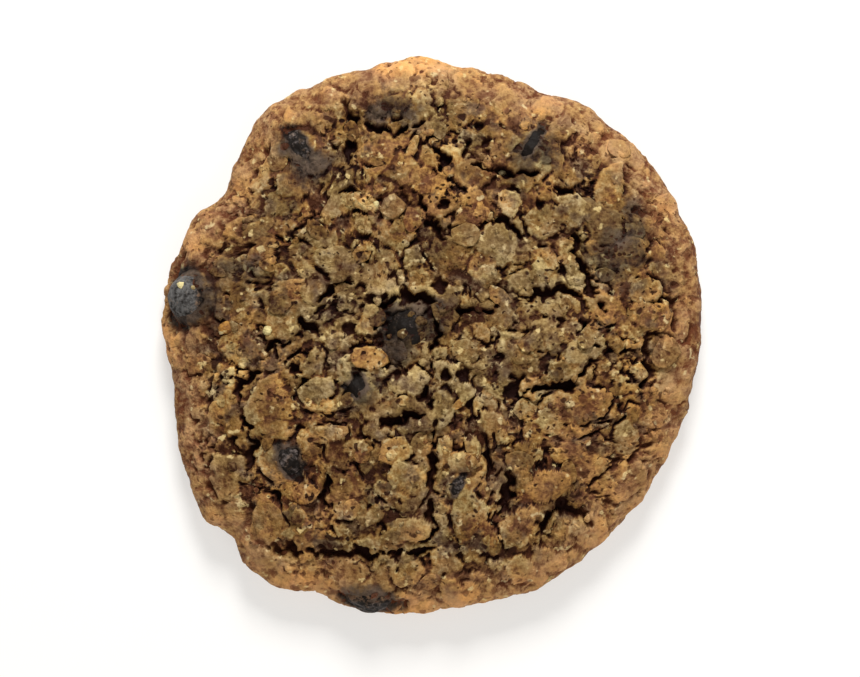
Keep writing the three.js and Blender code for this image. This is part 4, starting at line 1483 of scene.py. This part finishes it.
@dataclass
class Dough:
    """The crumb: a body with rim, side and underside, and a finer crust on its top."""

    body_cells: int = 290
    top_cells: int = 310
    under_cells: int = 70
    top_under_cells: int = 30
    under_reach: float = 0.985
    dimple_depth: float = 0.25
    top_reach: float = 0.8
    seam: tuple[float, float] = (0.68, 0.77)
    seam_depth: float = 1.8
    side_rough: float = 0.16
    steepest: float = 0.17
    # Painted shade in the hollows: depth below the skin's mean over these two widths darkens it, reddens it
    # and, where deepest, marks it as a gap.
    valley: float = 1.2
    valley_gap_shade: Ramp = Ramp(1.0, 0.2, 0.45)
    valley_shade_hue: Ramp = Ramp(0.7, -0.13, 0.24, 0.26)
    valley_shade: Ramp = Ramp(0.4, -0.17, 0.28, 0.13)
    basin: float = 3.4
    basin_shade_hue: Ramp = Ramp(0.4, -0.22, 0.4, 0.12)
    basin_shade: Ramp = Ramp(0.4, -0.22, 0.44, 0.13)
    rim_toast: Ramp = Ramp(0.95, 0.68, 0.84)
    rim_hue: Ramp = Ramp(0.4, 0.3, 0.62)
    lump_lift: float = 0.22
    rim_lumps: Ramp = Ramp(0.3, 0.64, 0.76)
    crumb_lift: float = 0.14
    grit_lift: float = 0.09
    smudge: Ramp = Ramp(0.3, 0.1, 0.6)
    lumps: Grain = Grain(3.2, 3)
    crumbs: Grain = Grain(1.3, 5)
    grit: Grain = Grain(0.7, 9)
    smudges: Grain = Grain(7.0, 13)
    film_depth: float = 0.22
    bare_depth: float = 0.6
    closed_below: float = 2.4
    closing: float = 1.6
    chip_reach: float = 8.5
    chip_shade: float = 0.35
    chip_lift: tuple[float, float] = (-4.0, 2.0)
    form: DoughForm = field(default_factory=DoughForm)
    bed: FlakeBed = field(default_factory=FlakeBed)
    grain: CrumbGrain = field(default_factory=CrumbGrain)
    fissures: Fissures = field(default_factory=Fissures)

    def build(self, chips: tuple[Chip, ...]) -> None:
        """Models the crumb's two pieces around the chips.

        Args:
            chips: the chips, already built.
        """
        self.finish = OatFinish().make("baked_oat_crumb")
        body = Sheet("crumb_body", self.body_cells, self.under_cells, 1.0)
        skin = self._work(body, chips)
        low, high = self.seam
        skin.lift -= self.seam_depth * (1.0 - smoothstep(body.way, low - 0.04, low))
        skin.lift *= 1.0 - smoothstep(body.way, 0.93, 1.0)
        points = skin.moved()
        points[:, 2] = np.maximum(points[:, 2], 0.0)
        floor, _, _ = self.form.skin(np.ones_like(body.under_out), body.under_heading)
        floor *= (self.under_reach * body.under_out)[:, None]
        dimples = self.dimple_depth * np.maximum(0.0, self.lumps.at(floor))
        floor[:, 2] = dimples * (1.0 - smoothstep(body.under_out, 0.9, 1.0))
        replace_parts(add_piece(body.name, body.write(skin, points, floor), self.finish), "crumb")

        top = Sheet("crumb_top", self.top_cells, self.top_under_cells, self.top_reach)
        self.skin = self._work(top, chips)
        self.top = self.skin.moved()
        tucked = self.seam_depth * smoothstep(top.way, high - 0.02, high + 0.02)
        points = self.top - self.skin.normal * tucked[:, None]
        floor, _, _ = self.form.skin(self.top_reach * top.under_out, top.under_heading)
        floor[:, 2] = self.form.rim_height
        add_piece(top.name, top.write(self.skin, points, floor), self.finish)

    def _work(self, sheet: Sheet, chips: tuple[Chip, ...]) -> Skin:
        """Shapes and tints one sheet's skin.

        Args:
            sheet: the sheet.
            chips: the chips that show in it.

        Returns:
            The worked skin.
        """
        point, normal, on_top = self.form.skin(sheet.way, sheet.heading)
        skin = Skin(point, normal, self.side_rough + (1.0 - self.side_rough) * on_top)
        self.bed.lay(self.form, skin)
        self.grain.press(skin)
        rough = self.crumb_lift * self.crumbs.at(point) + self.grit_lift * self.grit.at(point)
        lumpy = (self.lump_lift + self.rim_lumps.of(sheet.way)) * self.lumps.at(point)
        skin.lift += lumpy + rough * (1.0 - 0.6 * skin.even)
        film = self.smudge.of(self.smudges.at(point)) * on_top
        rag = 0.3 * self.lumps.at(point + 9.0)
        for smear in SMEARS:
            film = np.maximum(film, smear.cover(point, rag, 0.2, 1.35))
        smooth = sheet.average(skin.lift, 12) + 0.25
        skin.lift += (smooth - skin.lift) * 0.4 * film**2
        skin.pore *= 1.0 - 0.7 * film
        self.fissures.cut(skin)
        self._cover_chips(skin, chips)
        near = sheet.average(skin.lift, 1)
        skin.lift = near + np.clip(skin.lift - near, -self.steepest, self.steepest)
        skin.film = np.maximum(skin.film, film)
        self._tint(sheet, skin)
        return skin

    def _tint(self, sheet: Sheet, skin: Skin) -> None:
        """Paints shade into the hollows, paints the listed patches of light and shade, smears the melted
        chocolate and toasts the rim.

        Args:
            sheet: the sheet.
            skin: its skin, already shaped.
        """
        spacing = 2.0 * self.form.length * sheet.reach / sheet.cells
        valley, basin = (
            sheet.average(skin.lift, round((width / spacing) ** 2)) - skin.lift
            for width in (self.valley, self.basin)
        )
        skin.gap = np.maximum(skin.gap, self.valley_gap_shade.of(valley))
        skin.hue += self.valley_shade_hue.of(valley)
        skin.hue += self.basin_shade_hue.of(basin)
        skin.light -= self.valley_shade.of(valley)
        skin.light -= self.basin_shade.of(basin)
        rag = 0.5 * self.lumps.at(skin.point + 5.0)
        for melt in MELTS:
            skin.slate = np.maximum(skin.slate, melt.cover(skin.point, rag, 0.3, 1.4))
        rag = 0.3 * self.lumps.at(skin.point - 9.0)
        # Painted light and shade from the listed patches, taken off the skin's lightness.
        for painted_light_shade in PAINTED_LIGHT_AND_SHADE:
            skin.painted_light_shade += painted_light_shade.cover(skin.point, rag, 0.1, 1.3)
        skin.light -= skin.painted_light_shade
        toast = self.rim_toast.of(sheet.way) + 0.25 * self.lumps.at(skin.point * 0.5) + 0.05
        skin.toast = np.clip(toast, 0.0, 1.0)
        skin.hue += self.rim_hue.of(sheet.way)

    def _cover_chips(self, skin: Skin, chips: tuple[Chip, ...]) -> None:
        """Opens the skin where a chip is bare and thins it out towards the opening.

        Args:
            skin: the skin to shape.
            chips: the chips that show in it.
        """
        for chip in chips:
            found = skin.near(chip.middle, self.chip_reach)
            rag = chip.rag * (self.lumps.at(skin.point[found]) + self.crumbs.at(skin.point[found]))
            low = smoothstep(-skin.point[found, 2], -self.form.rim_height, -self.closed_below)
            rag += self.closing * low
            reach = chip.bare.reach(skin.point[found, 0], skin.point[found, 1]) + rag
            skin.lift[found] += self._mound(skin, found, chip)
            moved = skin.moved()[found]
            hits = [chip.tree.find_nearest(Vector(place)) for place in moved]
            clear = np.array([(Vector(place) - hit[0]).dot(hit[1]) for place, hit in zip(moved, hits)])
            bare = 1.0 - smoothstep(reach, 0.7, 1.15)
            opened = self.film_depth - (self.film_depth + self.bare_depth) * bare
            kept = np.maximum(clear, self.film_depth)
            share = smoothstep(reach, 0.95, 1.7)
            skin.lift[found] += np.clip(opened * (1 - share) + kept * share - clear, *self.chip_lift)
            skin.film[found] = np.maximum(skin.film[found], 1.0 - smoothstep(reach, 0.9, 1.8))
            skin.slate[found] = np.maximum(skin.slate[found], 1.0 - smoothstep(reach, 1.0, 1.0 + chip.melt))
            skin.light[found] -= self.chip_shade * (1.0 - smoothstep(reach, 0.9, 1.7))

    @staticmethod
    def _mound(skin: Skin, found: Array, chip: Chip) -> Array:
        """Finds how far the dough round a chip has to rise to lie over it as a ball.

        Args:
            skin: the skin to shape.
            found: the vertices around the chip.
            chip: the chip, with its mound's radius.

        Returns:
            The rise of each vertex along its normal.
        """
        away = skin.moved()[found] - chip.middle
        along = np.einsum("ij,ij->i", away, skin.normal[found])
        inside = chip.mound**2 - np.einsum("ij,ij->i", away, away)
        return np.where(inside > 0.0, np.sqrt(np.maximum(along**2 + inside, 0.0)) - along, 0.0)


@dataclass
class OatFlakes:
    """Rolled oats that lie on the crumb, thin plates joined into one piece."""

    count: int = 70
    sizes: tuple[float, float] = (2.4, 5.6)
    sides: int = 12
    thickness: float = 0.5
    seed: int = 91
    level: float = 48.0
    named_rise: float = 22.0
    steepest: float = 1.0
    longest: float = 8.0
    reach: float = 0.88
    start: float = 1.0
    spread: float = 1.2
    chances: tuple[float, ...] = (0.22, 0.08, 0.22, 0.07, 0.12, 0.2, 0.09)
    widths: tuple[float, float] = (0.55, 0.9)
    insets: tuple[float, float] = (0.12, 0.4)
    fewest: int = 12
    most_open: float = 0.34
    named_open: float = 0.8

    def _plate(self) -> tuple[Array, list[Array]]:
        """Models one plain plate, 2 across and 1 thick, with two rings on its top."""
        bm = bmesh.new()
        bmesh.ops.create_cone(
            bm, cap_ends=True, cap_tris=False, segments=self.sides, radius1=0.9, radius2=1.0, depth=1.0
        )
        bm.normal_update()
        for inset in self.insets:
            caps = [face for face in bm.faces if len(face.verts) == self.sides]
            top = max(caps, key=lambda face: face.calc_center_median().z)
            bmesh.ops.inset_individual(bm, faces=[top], thickness=inset)
        return take_apart(bm)

    def build(self, dough: Dough) -> bpy.types.Object:
        """Lays the flakes on the finished skin.

        Args:
            dough: the crumb that carries them.

        Returns:
            The flakes' object.
        """
        draws = np.random.default_rng(self.seed)
        shape, faces = self._plate()
        lying = [flake for flake in NAMED_FLAKES if flake.length < self.longest]
        for k in range(self.count):
            place = dough.form.sunflower(k, self.count, self.reach, self.start)
            x, y = place + draws.normal(0.0, self.spread, 2)
            length = draws.uniform(*self.sizes)
            tint = draws.choice(list(Tint), p=self.chances)
            width = length * draws.uniform(*self.widths)
            lying.append(Flake(x, y, length, width, draws.uniform(0, 360), draws.normal(0, 9), tint))
        tried = [self._lay(dough, draws, shape, flake) for flake in lying]
        laid = [pair for pair in tried if pair is not None]
        mesh = join_copies("oat_flakes", np.array([plate for plate, _ in laid]), faces)
        for i, name in enumerate(Skin.CARRIED):
            set_attribute(mesh, name, np.concatenate([values[i] for _, values in laid]))
        return add_piece("oat_flakes", mesh, dough.finish)

    def _lay(self, dough: Dough, draws: np.random.Generator, shape: Array,
             flake: Flake) -> tuple[Array, Array] | None:
        """Shapes one flake and lays it on the skin, leaning as the skin does.

        Args:
            dough: the crumb that carries it.
            draws: where its chances come from.
            shape: the plain plate's points.
            flake: the flake.

        Returns:
            Its points and what they carry, or nothing where the skin is too open to hold it.
        """
        corners, phase = Corners(draws), draws.uniform(0.0, math.tau)
        curl, crease = draws.uniform(-0.35, 0.1), draws.uniform(0.0, 0.18)
        shade = draws.normal(0.0, 0.07, 2)
        found = dough.skin.around(flake.x, flake.y, 0.5 * flake.length)
        named = flake in NAMED_FLAKES
        limit = self.named_open if named else self.most_open
        if len(found) < self.fewest or np.mean(dough.skin.gap[found]) > limit:
            return None
        ground = dough.top[found]
        away = ground[:, :2] - (flake.x, flake.y)
        lean = np.linalg.lstsq(np.column_stack((away, np.ones(len(away)))), ground[:, 2], rcond=None)[0]
        lean[:2] *= min(1.0, self.steepest / max(TINY, math.hypot(lean[0], lean[1])))
        rest = np.percentile(ground[:, 2] - away @ lean[:2], self.level + self.named_rise * named)
        angle = np.arctan2(shape[:, 1], shape[:, 0])
        reach = np.hypot(shape[:, 0], shape[:, 1])
        wave = reach / np.maximum(corners.reach(shape[:, 1], shape[:, 0]), TINY)
        along = shape[:, 0] * wave * flake.length / 2
        across = shape[:, 1] * wave * flake.width / 2
        up = self.thickness * shape[:, 2] + curl * reach**2 - crease * np.exp(-(shape[:, 1] * 5.0) ** 2)
        up += 0.12 * np.sin(3.0 * angle + phase) * reach**3 + math.tan(math.radians(flake.tilt)) * along
        turn = math.radians(flake.heading)
        x = along * math.cos(turn) - across * math.sin(turn)
        y = along * math.sin(turn) + across * math.cos(turn)
        plate = np.column_stack((x + flake.x, y + flake.y, rest + up + lean[0] * x + lean[1] * y))
        middle = found[np.hypot(away[:, 0], away[:, 1]).argmin()]
        edge = smoothstep(reach, 0.7, 1.0)
        plain = np.ones(len(shape))
        hue, light = flake.tint.value
        # Painted highlight along the flake's edge, and the painted light and shade of the crumb where it
        # lies.
        light = (0.7 if named else 0.6) * light + shade[1] + 0.14 * edge - dough.skin.painted_light_shade[middle]
        values = {"hue": plain * (hue + shade[0]), "light": light, "even": plain * 0.6}
        for name in ("toast", "film", "slate"):
            values[name] = plain * getattr(dough.skin, name)[middle]
        return plate, np.array([values.get(name, 0.0 * plain) for name in Skin.CARRIED])


@dataclass
class Crumbs:
    """Small lumps of one kind on the skin, joined into one piece."""

    name: str
    count: int
    sizes: tuple[float, float]
    detail: int
    sink: float
    pale: float
    seed: int
    bumps: Grain = Grain(0.42, 97)
    bumpiness: float = 0.5
    least: tuple[float, float, float] = (0.75, 0.6, 0.45)
    most: tuple[float, float, float] = (1.3, 1.0, 0.8)
    lean: float = 0.3
    stained: float = 0.8

    def build(self, dough: Dough) -> bpy.types.Object:
        """Strews the lumps over the finished skin.

        Args:
            dough: the crumb that carries them.

        Returns:
            The lumps' object.
        """
        draws = np.random.default_rng(self.seed)
        shape, faces = model_ball(self.detail)
        skin = dough.skin
        closed = 1.0 - smoothstep(skin.gap, 0.1, 0.5)
        chance = smoothstep(skin.rough, 0.3, 0.9) * closed * (1.0 - skin.film) + 1e-9
        spots = draws.choice(len(chance), self.count, replace=False, p=chance / chance.sum())
        low, high = self.sizes
        size = low * (high / low) ** (draws.random(self.count) ** 1.5)
        stretch = draws.uniform(self.least, self.most, (self.count, 3)) * size[:, None]
        up = unit(skin.normal[spots] + draws.normal(0.0, self.lean, (self.count, 3)))
        side = unit(np.cross(up, draws.normal(0.0, 1.0, (self.count, 3))))
        axes = np.stack((side, np.cross(up, side), up), axis=1)
        places = shape[None] + draws.uniform(-FAR_APART, FAR_APART, (self.count, 1, 3))
        uneven = 1.0 + self.bumpiness * self.bumps.at(places.reshape(-1, 3)).reshape(self.count, -1, 1)
        local = shape[None] * stretch[:, None] * uneven
        base = dough.top[spots] + up * (stretch[:, 2] * (0.5 - self.sink))[:, None]
        points = base[:, None] + np.einsum("nmi,nij->nmj", local, axes)
        mesh = join_copies(self.name, points, faces)
        hue = np.clip(skin.hue[spots] + draws.normal(0.0, 0.25, self.count), 0.0, 1.2)
        light = skin.light[spots] + self.pale * draws.random(self.count) ** 2
        light += draws.normal(0, 0.1, self.count)
        carry_tones(mesh, self.count, {
            "hue": hue, "light": light, "toast": skin.toast[spots],
            "film": self.stained * skin.film[spots], "slate": self.stained * skin.slate[spots],
        })
        return add_piece(self.name, mesh, dough.finish)


@dataclass
class BrightCrumbs:
    """The few bright crumbs that stand out, as place, size, lightness and hue from above."""

    spots: tuple[tuple[float, float, float, float, float], ...] = (
        (-41.4, 8.5, 1.3, 1.1, -0.5), (-39.4, 8.0, 0.8, 0.4, -0.5), (-4.7, 0.5, 2.0, 0.0, 0.0),
        (-27.0, 1.0, 1.5, 0.7, -0.3), (-34.1, 1.4, 2.2, 0.45, 1.5), (11.6, 27.0, 1.3, 0.6, 0.0),
        (-2.0, 2.5, 2.4, -0.25, -0.3), (-6.9, 0.0, 1.1, -0.2, 0.0), (-3.4, 3.6, 1.2, -0.1, -0.3),
        (-10.4, 22.2, 1.5, 0.7, -0.3), (-9.2, 21.8, 1.2, 0.7, -0.3),
    )
    flatness: float = 0.7
    cream: Colour = linear(230, 218, 168)
    gold: Colour = linear(220, 166, 84)
    seed: int = 107
    bumps: Grain = Grain(0.42, 98)
    bumpiness: float = 0.5
    sink: float = 0.05
    detail: int = 2

    def build(self, chips: tuple[Chip, ...], dough: Dough) -> bpy.types.Object:
        """Drops each crumb on the chip or the skin below it.

        Args:
            chips: the chips, already built.
            dough: the crumb around them.

        Returns:
            The crumbs' object.
        """
        draws = np.random.default_rng(self.seed)
        shape, faces = model_ball(self.detail)
        lumps = []
        for x, y, size, _, _ in self.spots:
            hits = [chip.tree.ray_cast(Vector((x, y, OVERHEAD)), DOWN)[0] for chip in chips]
            ground = dough.top[np.hypot(dough.top[:, 0] - x, dough.top[:, 1] - y).argmin(), 2]
            height = max([hit.z for hit in hits if hit is not None], default=ground)
            uneven = 1.0 + self.bumpiness * self.bumps.at(shape + draws.uniform(-FAR_APART, FAR_APART, 3))
            lump = shape * uneven[:, None] * size * (1.0, draws.uniform(0.7, 1.0), self.flatness)
            lumps.append(lump + (x, y, height - self.sink * size))
        mesh = join_copies("bright_crumbs", np.array(lumps), faces)
        light, hue = np.array(self.spots)[:, 3:].T
        carry_tones(mesh, len(lumps), {"hue": hue, "light": light, "even": np.ones(len(lumps))})
        bright = OatFinish(pale=self.cream, golden=self.gold).make("bright_crumb")
        return add_piece("bright_crumbs", mesh, bright)


@dataclass(frozen=True)
class Lamp:
    """A soft square lamp that faces the cookie: place and width in metres, power in watts."""

    name: str
    place: tuple[float, float, float]
    size: float
    power: float
    colour: Colour

    def hang(self) -> None:
        """Hangs the lamp in the scene."""
        lamp = bpy.data.lights.new(self.name, "AREA")
        lamp.size, lamp.energy, lamp.color = self.size, self.power, self.colour
        light = bpy.data.objects.new(self.name, lamp)
        light.location = self.place
        light.rotation_euler = (-Vector(self.place)).to_track_quat("-Z", "Y").to_euler()
        bpy.context.scene.collection.objects.link(light)


@dataclass
class Studio:
    """A pale floor, soft light from the top of the picture, and the camera straight above."""

    frame_width_px: float = 860.0
    pixels_per_mm: float = 6.0
    lens: float = 150.0
    sensor: float = 36.0
    rim_height: float = 4.6
    shift: tuple[float, float] = (-0.33, -0.33)
    lamps: tuple[Lamp, ...] = (
        Lamp("key", (0.02, 0.46, 0.38), 0.2, 4.0, (1.0, 0.98, 0.95)),
        Lamp("fill", (0.15, -0.45, 0.36), 0.5, 1.3, (1.0, 0.93, 0.86)),
    )
    room: float = 0.34
    room_colour: Colour = (1.0, 0.96, 0.92)
    floor_size: float = 2.0
    floor_grey: Colour = (0.48, 0.48, 0.475)
    floor_white: Colour = (0.82, 0.82, 0.81)
    floor_glow: float = 0.62

    def build(self) -> None:
        """Sets up the floor, the lights and the camera."""
        self._floor()
        for lamp in self.lamps:
            lamp.hang()
        world = bpy.data.worlds.new("soft_room")
        world.use_nodes = True
        backdrop = world.node_tree.nodes["Background"]
        backdrop.inputs["Color"].default_value = (*self.room_colour, 1.0)
        backdrop.inputs["Strength"].default_value = self.room
        bpy.context.scene.world = world
        bpy.context.scene.view_settings.view_transform = "Standard"
        self._camera()

    def _floor(self) -> None:
        """Lays a large pale floor."""
        bm = bmesh.new()
        bmesh.ops.create_grid(bm, x_segments=2, y_segments=2, size=self.floor_size)
        mesh = bpy.data.meshes.new("floor")
        bm.to_mesh(mesh)
        bm.free()
        mesh.materials.append(Graph("pale_floor").finish({
            "Base Color": self.floor_grey, "Roughness": 0.8,
            "Emission Color": self.floor_white, "Emission Strength": self.floor_glow,
        }))
        floor = bpy.data.objects.new("floor", mesh)
        bpy.context.scene.collection.objects.link(floor)

    def _camera(self) -> None:
        """Hangs the camera over the cookie, so that its rim has the picture's scale."""
        lens = bpy.data.cameras.new("camera")
        lens.lens, lens.sensor_width = self.lens, self.sensor
        width = self.frame_width_px / self.pixels_per_mm
        camera = bpy.data.objects.new("camera", lens)
        height = self.rim_height + width * self.lens / self.sensor
        camera.location = (self.shift[0] * MM, self.shift[1] * MM, height * MM)
        bpy.context.scene.collection.objects.link(camera)
        bpy.context.scene.camera = camera


def main() -> None:
    """Builds the cookie and its studio."""
    logging.basicConfig(level=logging.INFO, format="%(name)s: %(message)s")
    for chip in CHIPS:
        chip.build()
    dough = Dough()
    dough.build(CHIPS)
    OatFlakes().build(dough)
    Crumbs("oat_bits", count=320, sizes=(0.9, 2.0), detail=2, sink=0.8, pale=0.15, seed=101).build(dough)
    Crumbs("crumbs", count=420, sizes=(0.3, 0.8), detail=1, sink=0.5, pale=0.3, seed=103).build(dough)
    BrightCrumbs().build(CHIPS, dough)
    Studio().build()


if __name__ == "__main__":
    main()
